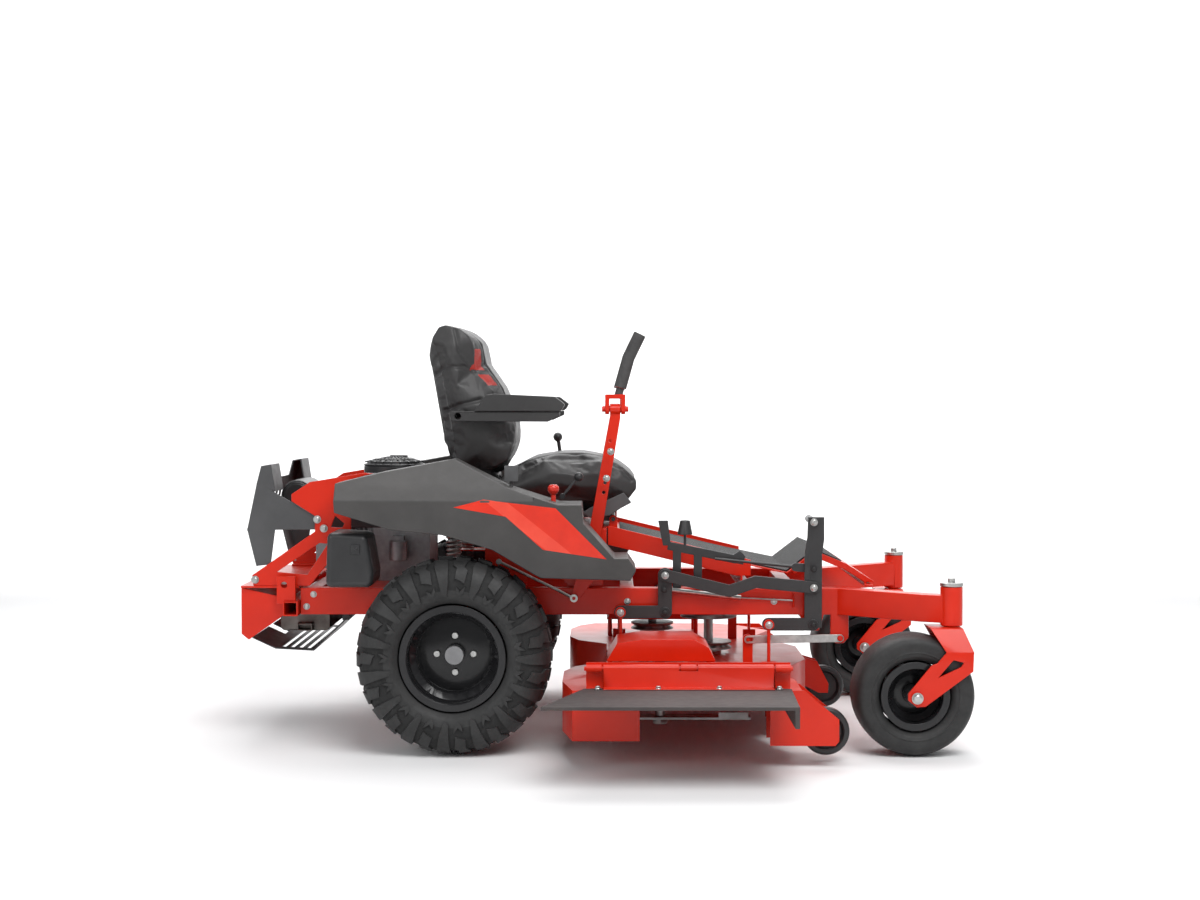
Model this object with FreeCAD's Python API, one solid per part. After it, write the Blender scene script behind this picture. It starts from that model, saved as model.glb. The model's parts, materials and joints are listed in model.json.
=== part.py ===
"""Ride-on zero turn mower, one STEP file per piece.

Millimetres. +X is forward, +Y is to the operator's left and +Z is up. The shapes are drawn about the
machine's centre plane, right side at negative y, and save() moves them so that the origin is at the
bottom centre of the whole machine's box.
"""
import FreeCAD, Part
import math
import os

V = FreeCAD.Vector

# ---------------------------------------------------------------- driving dimensions
CENTRE_PLANE_Y = 171.0     # the centre plane's place in the saved frame
FIT = 0.05                 # radial clearance of pins and shafts
BEAD_FIT = 0.4             # radial clearance of a tyre's bead on its rim
SIDE_GAP = 2.0             # side clearance between moving plates

REAR_AXLE_X = -400.0
REAR_TYRE_R = 272.0
REAR_TYRE_W = 280.0
REAR_TRACK_Y = 505.0       # centre plane to tyre centre
REAR_FLANGE_R = 146.0
REAR_BEAD_R = 127.0
AXLE_R = 16.0
LUG_CIRCLE_R = 51.0
LUG_COUNT = 4

SPINDLE_X = 974.0
SPINDLE_Y = 536.0
TRAIL = 109.0
FRONT_TYRE_R = 167.0
FRONT_TYRE_W = 165.0
FRONT_FLANGE_R = 95.0
FRONT_BEAD_R = 76.0
FRONT_AXLE_R = 10.0
FORK_LEG = 8.0
FORK_TOP_Z = 352.0
KINGPIN_R = 16.0

RAIL_Y = 322.0             # centre plane to rail centre
RAIL_W = 50.0
RAIL_H = 76.0
RAIL_WALL = 5.0
RAIL_Z = 362.0             # underside
RAIL_REAR_X = -858.0
RAIL_BEND_X = 690.0
HOUSING_R = 30.5
HOUSING_TOP_Z = 462.0
FLOOR_HALF_W = 262.0

PLATFORM_Z = 606.0         # top of the seat platform
PLATFORM_HALF_W = 304.0
SEAT_HINGE_X = 40.0
SEAT_HINGE_Z = 628.0
SEAT_PIN_R = 6.0
SEAT_HALF_W = 232.0

ARM_X = -33.0              # fore and aft pivot of a lap bar
ARM_Z = 479.0
ARM_Y = 328.0
ARM_T = 12.0
ARM_PIN_R = 8.0
ROD_END = (-73.0, 411.0)
ROD_PIN_R = 5.0
ROD_R = 4.0                # steering rods
LAP_HINGE_Z = 951.0
LAP_HINGE_X = 45.0
LAP_PIN_R = 8.0
GRIP_R = 18.0

LIFT_FRONT = (609.0, 338.0)
LIFT_REAR = (187.0, 373.0)
LIFT_REACH = 127.0         # shaft to hanger pin
LIFT_RISE = 106.0          # shaft to link pin
STOP_RISE = 158.0          # shaft to height rod pin
LIFT_SHAFT_R = 14.0
LIFT_PIN_R = 8.0
CRANK_Y = 370.0            # inner face of the lift cranks
CRANK_T = 10.0
DRAG_FRONT = (688.0, 296.0)
DRAG_REAR = (425.0, 292.0)
DRAG_Y = 354.0
DRAG_T = 8.0
DRAG_STUD_R = 4.0
HANGER_R = 5.0             # threaded rods that the deck hangs on

DECK_TOP_Z = 207.0
DECK_BOTTOM_Z = 72.0
DECK_SHEET = 5.0
DECK_HALF_W = 762.0
BLADE_R = 252.0
BLADE_Z = 96.0
BLADE_SHAFT_R = 14.0
BLADES = {"right": (170.0, -495.0), "centre": (330.0, 0.0), "left": (170.0, 495.0)}
PULLEY_R = 70.0
DRIVE_WHEEL_R = 85.0
SCALP_R = 64.0
SCALP_W = 40.0
SCALP_AXLE_R = 8.0
SCALPS = {"right": (612.0, -664.0, 84.0), "centre": (690.0, 108.0, 90.0), "left": (612.0, 664.0, 84.0)}
CHUTE_HINGE_Y = -780.0
CHUTE_HINGE_Z = 268.0
CHUTE_Z = 214.0            # middle of the rubber sheet
CHUTE_REACH = 325.0
CHUTE_T = 9.0
CHUTE_PIN_R = 6.0

ENGINE_X = -626.0
CRANKSHAFT_R = 14.0
SCREEN_R = 92.0
FENDER_IN_Y = 366.0
FENDER_OUT_Y = 590.0
FENDER_WALL = 6.0
TIE_BORE_R = 9.0
HITCH_BORE_R = 10.0

KNOB_PLACE = (-128.0, -478.0)
KEY_PLACE = (-248.0, -430.0)
LEVER_PLACE = (-104.0, -432.0)
LEVER_Z = 706.0
BRAKE_PLACE = (-120.0, 450.0)

rail_in = RAIL_Y - RAIL_W / 2
rail_out = RAIL_Y + RAIL_W / 2
rail_top = RAIL_Z + RAIL_H
crank_out = CRANK_Y + CRANK_T
link_in = crank_out + SIDE_GAP
link_out = link_in + CRANK_T

os.makedirs("parts", exist_ok=True)


# ---------------------------------------------------------------- shape helpers
def box(x0, x1, y0, y1, z0, z1):
    return Part.makeBox(x1 - x0, y1 - y0, z1 - z0, V(x0, y0, z0))


def rod_x(x0, x1, y, z, r):
    return Part.makeCylinder(r, x1 - x0, V(x0, y, z), V(1, 0, 0))


def rod_y(y0, y1, x, z, r):
    return Part.makeCylinder(r, y1 - y0, V(x, y0, z), V(0, 1, 0))


def rod_z(z0, z1, x, y, r):
    return Part.makeCylinder(r, z1 - z0, V(x, y, z0), V(0, 0, 1))


def rod_between(a, b, r):
    """A round bar between two points."""
    run = V(*b) - V(*a)
    return Part.makeCylinder(r, run.Length, V(*a), run)


def outline(corners):
    return Part.Face(Part.makePolygon(corners + corners[:1]))


def plate_xz(points, y0, y1):
    """A side view outline with its thickness along Y."""
    return outline([V(x, y0, z) for x, z in points]).extrude(V(0, y1 - y0, 0))


def plate_xy(points, z0, z1):
    """A plan view outline with its thickness along Z."""
    return outline([V(x, y, z0) for x, y in points]).extrude(V(0, 0, z1 - z0))


def plate_yz(points, x0, x1):
    """A front view outline with its thickness along X."""
    return outline([V(x0, y, z) for y, z in points]).extrude(V(x1 - x0, 0, 0))


def band(path, width):
    """The outline of a strip of even width along an open path of pairs."""
    left, right = [], []
    for i, (a, b) in enumerate(path):
        back = path[max(i - 1, 0)]
        ahead = path[min(i + 1, len(path) - 1)]
        heading_in = math.atan2(b - back[1], a - back[0])
        heading_out = math.atan2(ahead[1] - b, ahead[0] - a)
        if i == 0:
            heading_in = heading_out
        if i == len(path) - 1:
            heading_out = heading_in
        lean = (heading_in + heading_out) / 2
        reach = width / 2 / math.cos((heading_out - heading_in) / 2)
        left.append((a - reach * math.sin(lean), b + reach * math.cos(lean)))
        right.append((a + reach * math.sin(lean), b - reach * math.cos(lean)))
    return left + right[::-1]


def strap(a, b, width, y0, y1):
    """A flat link with round ends between two side view points."""
    body = plate_xz(band([a, b], width), y0, y1)
    return join(body, rod_y(y0, y1, *a, width / 2), rod_y(y0, y1, *b, width / 2))


def join(first, *rest):
    return first.fuse(list(rest)).removeSplitter()


def cut(shape, *tools):
    for tool in tools:
        shape = shape.cut(tool)
    return shape


def turned_y(profile, x, y, z):
    """A ring about a Y axis. The profile holds pairs: offset along Y and radius."""
    return outline([V(x, y + along, z + r) for along, r in profile]).revolve(V(x, y, z), V(0, 1, 0), 360)


def turned_z(profile, x, y):
    """A ring about a Z axis. The profile holds pairs: radius and height."""
    return outline([V(x + r, y, z) for r, z in profile]).revolve(V(x, y, 0), V(0, 0, 1), 360)


def flipped(shape):
    """The same shape on the other side of the centre plane."""
    return shape.mirror(V(0, 0, 0), V(0, 1, 0))


def on_both(shape):
    return [shape, flipped(shape)]


def save(name, *shapes):
    """Move the piece's solids into the saved frame and write them to one STEP file."""
    solids = [solid for shape in shapes for solid in shape.Solids]
    whole = solids[0].copy() if len(solids) == 1 else Part.makeCompound(solids)
    whole.translate(V(0, CENTRE_PLANE_Y, 0))
    whole.exportStep("parts/" + name + ".step")


def save_sides(name, *shapes):
    """Write the right side's piece and its mirror image."""
    save(name + "_right", *shapes)
    save(name + "_left", *[flipped(shape) for shape in shapes])


# ---------------------------------------------------------------- frame
def frame_rail():
    """One bent box tube with its caster housing, lift hanger and drag lug welded on."""
    path = [(RAIL_REAR_X, -RAIL_Y), (RAIL_BEND_X, -RAIL_Y), (SPINDLE_X - 69, 36 - SPINDLE_Y),
            (SPINDLE_X, -SPINDLE_Y)]
    tube = plate_xy(band(path, RAIL_W), RAIL_Z, rail_top)
    hollow = plate_xy(band(path, RAIL_W - 2 * RAIL_WALL), RAIL_Z + RAIL_WALL, rail_top - RAIL_WALL)
    housing = rod_z(FORK_TOP_Z + SIDE_GAP, HOUSING_TOP_Z, SPINDLE_X, -SPINDLE_Y, HOUSING_R)
    beyond = box(SPINDLE_X, SPINDLE_X + 90, -SPINDLE_Y - 90, -SPINDLE_Y + 90, 0, 900)
    kingpin = rod_z(0, 900, SPINDLE_X, -SPINDLE_Y, KINGPIN_R + FIT)
    x, z = DRAG_FRONT
    lug = plate_xz([(x - 26, RAIL_Z), (x - 26, z), (x - 12, z - 16), (x + 12, z - 16), (x + 26, z),
                    (x + 26, RAIL_Z)], -rail_out, -rail_out + 12)
    drag_pin = rod_y(-DRAG_Y - DRAG_T - 6, -rail_out, x, z, LIFT_PIN_R)
    x, z = LIFT_FRONT
    hanger = plate_xz([(x - 34, RAIL_Z), (x - 20, z - 22), (x + 20, z - 22), (x + 34, RAIL_Z)],
                      -rail_out, -rail_out + 12)
    stop = box(553, 557, -CRANK_Y + 4, -rail_out, 385, 425)
    shafts = [rod_y(-rail_out - 5, -rail_in + 5, *place, LIFT_SHAFT_R + FIT)
              for place in (LIFT_FRONT, LIFT_REAR)]
    tube = cut(tube, hollow, beyond)
    return cut(join(tube, housing, lug, drag_pin, hanger, stop), kingpin, *shafts)


save_sides("frame_rail", frame_rail())

mount_plate = box(-790, -470, -rail_in, rail_in, rail_top - 6, rail_top)
mount_plate = cut(mount_plate, rod_z(0, 900, ENGINE_X, 0, 60))
cross = [box(x, x + 40, -rail_in, rail_in, rail_top - 46, rail_top - 6) for x in (-850, -430, 60, 540)]
save("frame_crossmembers", mount_plate, *cross)

# The floor drops from the seat to the feet, rises as a foot ramp and folds down at the nose.
floor_path = [(24, 594), (396, 506), (546, 474), (626, 536), (716, 500), (800, 446)]
ramp_side = [(560, 484), (626, 538), (716, 502), (800, 448), (770, 448), (712, 484), (626, 520), (566, 470)]
pan_side = [(24, 612), (396, 522), (440, 512), (440, 466), (396, 466), (24, 556)]
pan = [plate_xz(band(floor_path, 4), -FLOOR_HALF_W, FLOOR_HALF_W)]
for y in (-FLOOR_HALF_W, FLOOR_HALF_W - 5):
    pan += [plate_xz(ramp_side, y, y + 5), plate_xz(pan_side, y, y + 5)]
feet = [box(400, 440, -rail_in, rail_in, rail_top, rail_top + 5),
        box(410, 416, -FLOOR_HALF_W, FLOOR_HALF_W, rail_top, 502),
        box(766, 790, -rail_in, rail_in, rail_top, rail_top + 5),
        box(770, 776, -FLOOR_HALF_W, FLOOR_HALF_W, rail_top, 460)]
save("floor_pan", join(*pan, *feet))

# ---------------------------------------------------------------- seat platform
platform = box(-330, 20, -PLATFORM_HALF_W, PLATFORM_HALF_W, PLATFORM_Z - 5, PLATFORM_Z)
step = box(15, SEAT_HINGE_X + 12, -214, 214, PLATFORM_Z - 5, PLATFORM_Z)
web = plate_xz([(-330, PLATFORM_Z), (-330, rail_top), (-225, rail_top), (-150, 520), (-90, rail_top),
                (10, rail_top), (20, 560), (20, PLATFORM_Z)], -PLATFORM_HALF_W - 4, -PLATFORM_HALF_W)
pivot = rod_y(-FENDER_IN_Y + SIDE_GAP, -PLATFORM_HALF_W, ARM_X, ARM_Z, ARM_PIN_R)
SHELF_Z = 504.0
shelf = box(-460, -326, -PLATFORM_HALF_W, -210, SHELF_Z - 4, SHELF_Z)
side = join(web, pivot, shelf)
ears = []
for y in (-214.0, 206.0):
    ear = box(SEAT_HINGE_X - 12, SEAT_HINGE_X + 12, y, y + 8, PLATFORM_Z - 5, SEAT_HINGE_Z)
    ear = join(ear, rod_y(y, y + 8, SEAT_HINGE_X, SEAT_HINGE_Z, 12))
    ears.append(cut(ear, rod_y(y, y + 8, SEAT_HINGE_X, SEAT_HINGE_Z, SEAT_PIN_R + FIT)))
save("seat_platform", join(platform, step, side, flipped(side), *ears))


def coil(x, y, z, height, radius, wire, turns):
    """A coil spring that stands on z, with its wire's centre one wire radius inside each end."""
    pitch = (height - 2 * wire) / turns
    helix = Part.makeHelix(pitch, height - 2 * wire, radius)
    helix.translate(V(x, y, z + wire))
    section = Part.Wire(Part.Edge(Part.Circle(V(x + radius, y, z + wire), V(0, 1, 0), wire)))
    return Part.Wire(helix).makePipeShell([section], True, True)


SEAT_SPRING_X = -425.0
SEAT_SPRING_TOP = 600.0
spring = coil(SEAT_SPRING_X, -250, SHELF_Z, SEAT_SPRING_TOP - SHELF_Z, 19, 4, 7)
save("seat_springs", *on_both(spring))

# ---------------------------------------------------------------- rear bumper, guards
BUMPER_REAR_X = -1029.0
wing = plate_xz([(BUMPER_REAR_X, 438), (-908, 410), (-908, 358), (-1008, 288), (BUMPER_REAR_X, 305)],
                -340, -334)
back = box(BUMPER_REAR_X, BUMPER_REAR_X + 6, -340, 340, 305, 438)
top = box(BUMPER_REAR_X, -862, -350, 350, rail_top, rail_top + 6)
hitch = box(BUMPER_REAR_X, -902, -45, 45, 372, 380)
bumper = cut(join(back, wing, flipped(wing), top, hitch), rod_z(300, 450, -985, 0, HITCH_BORE_R))
beam = cut(box(-902, -860, -385, 385, 361, 403), box(-898, -864, -385, 385, 365, 399))
lug = join(box(-922, -868, -372, -362, 395, 474))
lug = cut(lug, rod_y(-372, -362, -901, 449, TIE_BORE_R), box(-902, -860, -385, 385, 361, 403))
save("rear_bumper", bumper, beam, *on_both(lug))

upright_edge = [(-993, 444), (-831, 444), (-712, 591), (-712, 645), (-753, 669), (-753, 738), (-647, 767),
                (-677, 768), (-830, 742), (-883, 707), (-883, 687), (-816, 645), (-816, 600), (-997, 474)]
upright = plate_xz(upright_edge, -346, -340)
truss = plate_xz([(-925, 484), (-803, 567), (-779, 565), (-838, 476)], -347, -339)
notch = plate_xz([(-770, 613), (-757, 645), (-731, 623), (-737, 611)], -347, -339)
bolts = [rod_y(-347, -339, x, z, 4.5) for x, z in ((-809, 635), (-790, 609), (-988, 462))]
upright = cut(upright, truss, notch, *bolts)
foot = box(-993, -840, -340, -310, 444, 450)
save("guard_uprights", *on_both(join(upright, foot)))

# The engine guard is one folded sheet around the back: two cheeks, a raised back and two horns.
cheek = plate_xz([(-1012, 604), (-983, 742), (-816, 645), (-816, 605)], -339, -335)
leg = plate_xz([(-1012, 606), (-930, 612), (-944, 505), (-986, 500)], -339, -335)
horn = plate_xz([(-984.5, 736), (-971, 788), (-942, 792), (-930, 714)], -339, -200)
horn = cut(horn, plate_xz([(-980, 730), (-967, 784), (-946, 788), (-934, 712)], -335, -200))
back_sheet = [(-1012, 604), (-983, 742), (-979, 742), (-1008, 604)]
back_low = [(-1012, 606), (-986, 500), (-982, 500), (-1008, 606)]
backs = [plate_xz(back_sheet, -339, 339), plate_xz(back_low, -339, -200), plate_xz(back_low, 200, 339)]
fold = box(-1012, -1000, -339, 339, 602, 608)
guard = join(cheek, leg, horn, flipped(cheek), flipped(leg), flipped(horn), fold, *backs)
slots = [box(-1030, -940, y, y + 40, 630, 700) for y in range(-260, 240, 60)]
save("engine_guard", cut(guard, *slots))

# ---------------------------------------------------------------- fenders
fender_edge = [(-731, 746), (-604, 776), (-406, 812), (-256, 736), (-112, 690), (-48, 690), (-44, 640),
               (41, 543), (80, 543), (102, 510), (86, 482), (-159, 489), (-178, 499), (-292, 566),
               (-431, 607), (-573, 621), (-726, 668)]


def shrunk(points, amount):
    """The side view outline moved inwards by an even amount."""
    wire = Part.makePolygon([V(x, 0, z) for x, z in points + points[:1]])
    return Part.Face(wire.makeOffset2D(-amount, 2))


def fender():
    """A hollow moulded cover, open below, with its outer top edge sloped off."""
    shell = plate_xz(fender_edge, -FENDER_OUT_Y, -FENDER_IN_Y)
    slope = plate_yz([(-FENDER_OUT_Y - 1, 700), (-FENDER_OUT_Y - 1, 900), (-450, 900), (-450, 820)],
                     -800, -180)
    inner = shrunk(fender_edge, FENDER_WALL)
    inner.translate(V(0, FENDER_WALL - FENDER_OUT_Y, 0))
    depth = FENDER_OUT_Y - FENDER_IN_Y - 2 * FENDER_WALL
    core = inner.extrude(V(0, depth, 0))
    slope_in = slope.copy()
    slope_in.translate(V(0, 0, -FENDER_WALL))
    core = core.cut(slope_in)
    drop = core.copy()
    drop.translate(V(0, 0, -FENDER_WALL - 4))
    return cut(shell, slope, core, drop)


right_fender = fender()
wells = [rod_z(600, 800, *KNOB_PLACE, 7 + FIT), rod_z(600, 800, *KEY_PLACE, 5 + FIT)]
save("fender_right", cut(right_fender, *wells))
NECK = (-665.0, 470.0)
CAP_R = 44.0
neck_hole = rod_z(640, 800, *NECK, CAP_R + SIDE_GAP)
save("fender_left", cut(flipped(right_fender), neck_hole))

tank = plate_xz([(-755, 460), (-625, 460), (-622, 500), (-640, 606), (-750, 612)], -560, -FENDER_IN_Y - 12)
neck = rod_z(600, 762, *NECK, 30)
save("fuel_tanks", tank, join(flipped(tank), neck))
cap = join(rod_z(763, 788, *NECK, CAP_R), rod_z(788, 796, *NECK, 30))
save("fuel_cap", cap)

# ---------------------------------------------------------------- engine
ENGINE_SEAT = rail_top
block = box(ENGINE_X - 120, ENGINE_X + 120, -130, 130, ENGINE_SEAT, 600)


def cylinder_barrel(turn):
    """One finned cylinder of the V, turned about the crankshaft."""
    barrel = box(ENGINE_X - 250, ENGINE_X - 90, -52, 52, 488, 588)
    fins = [box(ENGINE_X - 240 + 16 * i, ENGINE_X - 234 + 16 * i, -64, 64, 478, 598) for i in range(8)]
    return join(barrel, *fins).rotate(V(ENGINE_X, 0, 0), V(0, 0, 1), turn)


barrels = [cylinder_barrel(-42), cylinder_barrel(42)]
filter_can = rod_z(503, 560, -597, -165, 26)
filter_mount = box(-615, -580, -165, -120, 560, 575)
bore = rod_z(0, 900, ENGINE_X, 0, CRANKSHAFT_R + FIT)
save("engine_block", cut(join(block, filter_can, filter_mount, *barrels), bore))

shroud = plate_xz([(-850, 602), (-850, 690), (-800, 728), (-720, 752), (-530, 752), (-490, 700), (-490, 602)],
                  -215, 215)
trims = [plate_yz([(s * 216, 640), (s * 216, 760), (s * 120, 760)], -900, -400) for s in (-1, 1)]
hollow = box(-835, -505, -200, 200, 600, 690)
shroud = cut(shroud, *trims, hollow, bore)
canister = rod_y(-115, 115, -905, 690, 48)
canister = join(canister, rod_y(-123, -115, -905, 690, 40), box(-905, -849, -50, 50, 660, 700))
save("engine_shroud", shroud, canister)

screen = turned_z([(0, 772), (60, 772), (82, 766), (SCREEN_R, 757), (SCREEN_R, 776), (80, 792), (50, 800),
                   (0, 802)], ENGINE_X, 0)
slots = []
for i in range(24):
    slot = box(ENGINE_X + 45, ENGINE_X + 76, -3, 3, 760, 810)
    slots.append(slot.rotate(V(ENGINE_X, 0, 0), V(0, 0, 1), 15 * i))
crank = rod_z(340, 772, ENGINE_X, 0, CRANKSHAFT_R)
pulley = turned_z([(0, 345), (75, 345), (75, 350), (62, 357), (75, 364), (75, 369), (0, 369)], ENGINE_X, 0)
clutch = rod_z(374, 412, ENGINE_X, 0, 52)
save("engine_crankshaft", cut(screen, *slots), join(crank, pulley, clutch))

muffler = box(-935, -790, -230, 230, 302, 357)
muffler = muffler.makeFillet(14, [e for e in muffler.Edges if abs(e.tangentAt(0).y) > 0.9])
outlet = cut(box(-882, -838, -262, -230, 304, 326), box(-878, -842, -262, -230, 308, 322))
save("muffler", join(muffler, outlet))

guard_path = [(-1005, 290), (-938, 259), (-828, 253), (-733, 345)]
louvre = plate_xz(band(guard_path, 4), -300, 300)
gaps = [box(-925 + 24 * i, -913 + 24 * i, -270, 270, 240, 270) for i in range(4)]
gaps.append(box(-1010, -955, -40, 40, 240, 300))
tab = box(-745, -725, -rail_in, rail_in, 340, RAIL_Z)
save("muffler_guard", join(cut(louvre, *gaps), tab))

# ---------------------------------------------------------------- transaxles and rear wheels
REAR_Z = REAR_TYRE_R
tyre_in = REAR_TRACK_Y - REAR_TYRE_W / 2
case = box(-475, -330, -300, -190, 205, 352)
horn = rod_y(-tyre_in + 12, -300, REAR_AXLE_X, REAR_Z, 34)
reservoir = box(-455, -350, -290, -200, 352, 385)
transaxle = cut(join(case, horn, reservoir), rod_y(-400, -150, REAR_AXLE_X, REAR_Z, AXLE_R + FIT))
save("transaxles", *on_both(transaxle))


def tyre(x, y, z, radius, width, bead, flange, crown):
    """A hollow tyre: tread, round sidewalls and beads."""
    half = width / 2
    deep = radius - bead
    wall = 0.1 * width
    outer = [(-0.58 * half, bead), (-0.79 * half, bead), (-0.79 * half, flange + 2),
             (-0.88 * half, flange + 7), (-0.98 * half, bead + 0.33 * deep),
             (-half, bead + 0.45 * deep), (-0.99 * half, bead + 0.58 * deep),
             (-0.95 * half, bead + 0.71 * deep), (-0.86 * half, radius - 1.9 * crown),
             (-0.72 * half, radius - 1.0 * crown), (-0.45 * half, radius - 0.3 * crown),
             (-0.15 * half, radius)]
    inner = [(-0.45 * half, radius - wall - 0.3 * crown), (-0.74 * half, radius - wall - 1.4 * crown),
             (-half + wall, bead + 0.5 * deep), (-0.82 * half, bead + 0.26 * deep),
             (-0.58 * half, bead + 0.1 * deep)]
    ring = outer + [(-a, r) for a, r in outer[::-1]] + [(-a, r) for a, r in inner[::-1]] + inner
    return turned_y(ring, x, y, z)


def rim(x, y, z, half, flange, bead, disc_at, hub_r):
    """A pressed rim with a deep centre, drawn with its open face towards -Y."""
    t = 4.0
    edge = [(-half, flange), (-half + t, flange), (-half + t, bead), (-0.5 * half, bead),
            (-0.4 * half, bead - 18), (0.4 * half, bead - 18), (0.5 * half, bead), (half - t, bead),
            (half - t, flange), (half, flange)]
    under = [(half, bead), (half - 7, bead - t), (0.5 * half + 3, bead - t),
             (0.4 * half + 3, bead - 18 - t), (-0.4 * half - 3, bead - 18 - t), (-0.5 * half - 3, bead - t),
             (-half + 7, bead - t), (-half, bead)]
    barrel = turned_y(edge + under, x, y, z)
    cone = turned_y([(disc_at, hub_r - 4), (disc_at + 5, hub_r - 4), (disc_at + 5, bead - 34),
                     (disc_at + 12, bead - 20), (disc_at + 4, bead - 20), (disc_at, bead - 32)], x, y, z)
    return join(barrel, cone)


save_sides("rear_tyre", tyre(REAR_AXLE_X, -REAR_TRACK_Y, REAR_Z, REAR_TYRE_R, REAR_TYRE_W,
                             REAR_BEAD_R + BEAD_FIT, REAR_FLANGE_R, 6))
REAR_DISC = -8.0
rear_rim = rim(REAR_AXLE_X, -REAR_TRACK_Y, REAR_Z, 116, REAR_FLANGE_R, REAR_BEAD_R, REAR_DISC, 30)
disc_y = -REAR_TRACK_Y + REAR_DISC
hub_end = -tyre_in + 8
hub = join(rod_y(disc_y - 42, hub_end, REAR_AXLE_X, REAR_Z, 26),
           rod_y(disc_y + 5, disc_y + 17, REAR_AXLE_X, REAR_Z, 68),
           rod_y(hub_end, -200, REAR_AXLE_X, REAR_Z, AXLE_R))
lug_bolts = []
for i in range(LUG_COUNT):
    turn = math.tau * i / LUG_COUNT
    place = (REAR_AXLE_X + LUG_CIRCLE_R * math.cos(turn), REAR_Z + LUG_CIRCLE_R * math.sin(turn))
    lug_bolts.append(rod_y(disc_y - 10, disc_y, *place, 9))
save_sides("rear_wheel", rear_rim, hub, *lug_bolts)

# ---------------------------------------------------------------- casters
AXLE_X = SPINDLE_X - TRAIL
FRONT_Z = FRONT_TYRE_R
fork_in = FRONT_TYRE_W / 2 + 4
fork_out = fork_in + FORK_LEG


def caster_fork():
    """A bent plate fork: flat top, sloped shoulders and two legs, with its kingpin."""
    shoulder = FORK_TOP_Z - 61
    arch = [(-fork_out, 100), (-fork_out, shoulder), (-58, FORK_TOP_Z), (58, FORK_TOP_Z),
            (fork_out, shoulder), (fork_out, 100), (fork_in, 100), (fork_in, shoulder - 3),
            (54, FORK_TOP_Z - 8), (-54, FORK_TOP_Z - 8), (-fork_in, shoulder - 3), (-fork_in, 100)]
    bent = plate_yz([(y - SPINDLE_Y, z) for y, z in arch], 700, 1100)
    edge = [(908, 360), (997, 360), (997, 350), (1020, 291), (1018, 239), (889, 143), (AXLE_X, 141),
            (841, 160), (841, 178), (905, 256), (920, 261), (945, 290), (908, 350)]
    side = plate_xz(edge, -SPINDLE_Y - 120, -SPINDLE_Y + 120)
    window = plate_xz([(923, 222), (964, 270), (992, 263), (985, 251)], -SPINDLE_Y - 120, -SPINDLE_Y + 120)
    pin = rod_z(FORK_TOP_Z - 8, HOUSING_TOP_Z, SPINDLE_X, -SPINDLE_Y, KINGPIN_R)
    hole = rod_y(-SPINDLE_Y - 120, -SPINDLE_Y + 120, AXLE_X, FRONT_Z, FRONT_AXLE_R + FIT)
    return cut(join(bent.common(side), pin), window, hole)


cap = join(rod_z(HOUSING_TOP_Z + 1, HOUSING_TOP_Z + 11, SPINDLE_X, -SPINDLE_Y, 32),
           rod_z(HOUSING_TOP_Z + 11, HOUSING_TOP_Z + 23, SPINDLE_X, -SPINDLE_Y, 10))
axle = join(rod_y(-SPINDLE_Y - fork_out, -SPINDLE_Y + fork_out, AXLE_X, FRONT_Z, FRONT_AXLE_R),
            rod_y(-SPINDLE_Y - fork_out - 9, -SPINDLE_Y - fork_out, AXLE_X, FRONT_Z, 14),
            rod_y(-SPINDLE_Y + fork_out, -SPINDLE_Y + fork_out + 9, AXLE_X, FRONT_Z, 14))
save_sides("caster_fork", caster_fork(), cap, axle)
save_sides("front_tyre", tyre(AXLE_X, -SPINDLE_Y, FRONT_Z, FRONT_TYRE_R, FRONT_TYRE_W,
                              FRONT_BEAD_R + BEAD_FIT, FRONT_FLANGE_R, 5))
front_rim = rim(AXLE_X, -SPINDLE_Y, FRONT_Z, 71, FRONT_FLANGE_R, FRONT_BEAD_R, -4, 30)
front_hub = rod_y(-SPINDLE_Y - fork_in + 2, -SPINDLE_Y + fork_in - 2, AXLE_X, FRONT_Z, 27)
bearing = rod_y(-SPINDLE_Y - 120, -SPINDLE_Y + 120, AXLE_X, FRONT_Z, FRONT_AXLE_R + FIT)
save_sides("front_wheel", cut(join(front_rim, front_hub), bearing))

# ---------------------------------------------------------------- lap bars and their linkage
arm_out = -ARM_Y - ARM_T
BELL_Y = (-FENDER_IN_Y + 6, -FENDER_IN_Y + 14)
hub = rod_y(BELL_Y[0], -PLATFORM_HALF_W - 4 - SIDE_GAP, ARM_X, ARM_Z, 20)
taper = [(ARM_X - 20, ARM_Z), (ARM_X + 20, ARM_Z), (LAP_HINGE_X + 15, LAP_HINGE_Z - 24),
         (LAP_HINGE_X + 15, LAP_HINGE_Z), (LAP_HINGE_X - 15, LAP_HINGE_Z),
         (LAP_HINGE_X - 15, LAP_HINGE_Z - 24)]
arm = plate_xz(taper, arm_out, -ARM_Y)
bell = plate_xz([(ARM_X - 24, ARM_Z + 16), (ARM_X + 24, ARM_Z + 16), (ARM_X + 14, ARM_Z - 22),
                 (ROD_END[0] + 12, ROD_END[1] - 8), (ROD_END[0] - 12, ROD_END[1] - 4)], *BELL_Y)
rod_pin = rod_y(BELL_Y[0] - 14, BELL_Y[0], *ROD_END, ROD_PIN_R)
boss = rod_x(LAP_HINGE_X - 15, LAP_HINGE_X + 15, arm_out / 2 - ARM_Y / 2, LAP_HINGE_Z, 15)
lap_pin = rod_x(LAP_HINGE_X - 38, LAP_HINGE_X + 38, arm_out / 2 - ARM_Y / 2, LAP_HINGE_Z, LAP_PIN_R)
arm = cut(join(arm, hub, bell, rod_pin, boss, lap_pin), rod_y(-400, -300, ARM_X, ARM_Z, ARM_PIN_R + FIT))
holes = [rod_y(-400, -300, x, z, 5) for x, z in ((30, 860), (33, 831), (16, 740), (12, 712))]
save_sides("control_arm", cut(arm, *holes))

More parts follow.
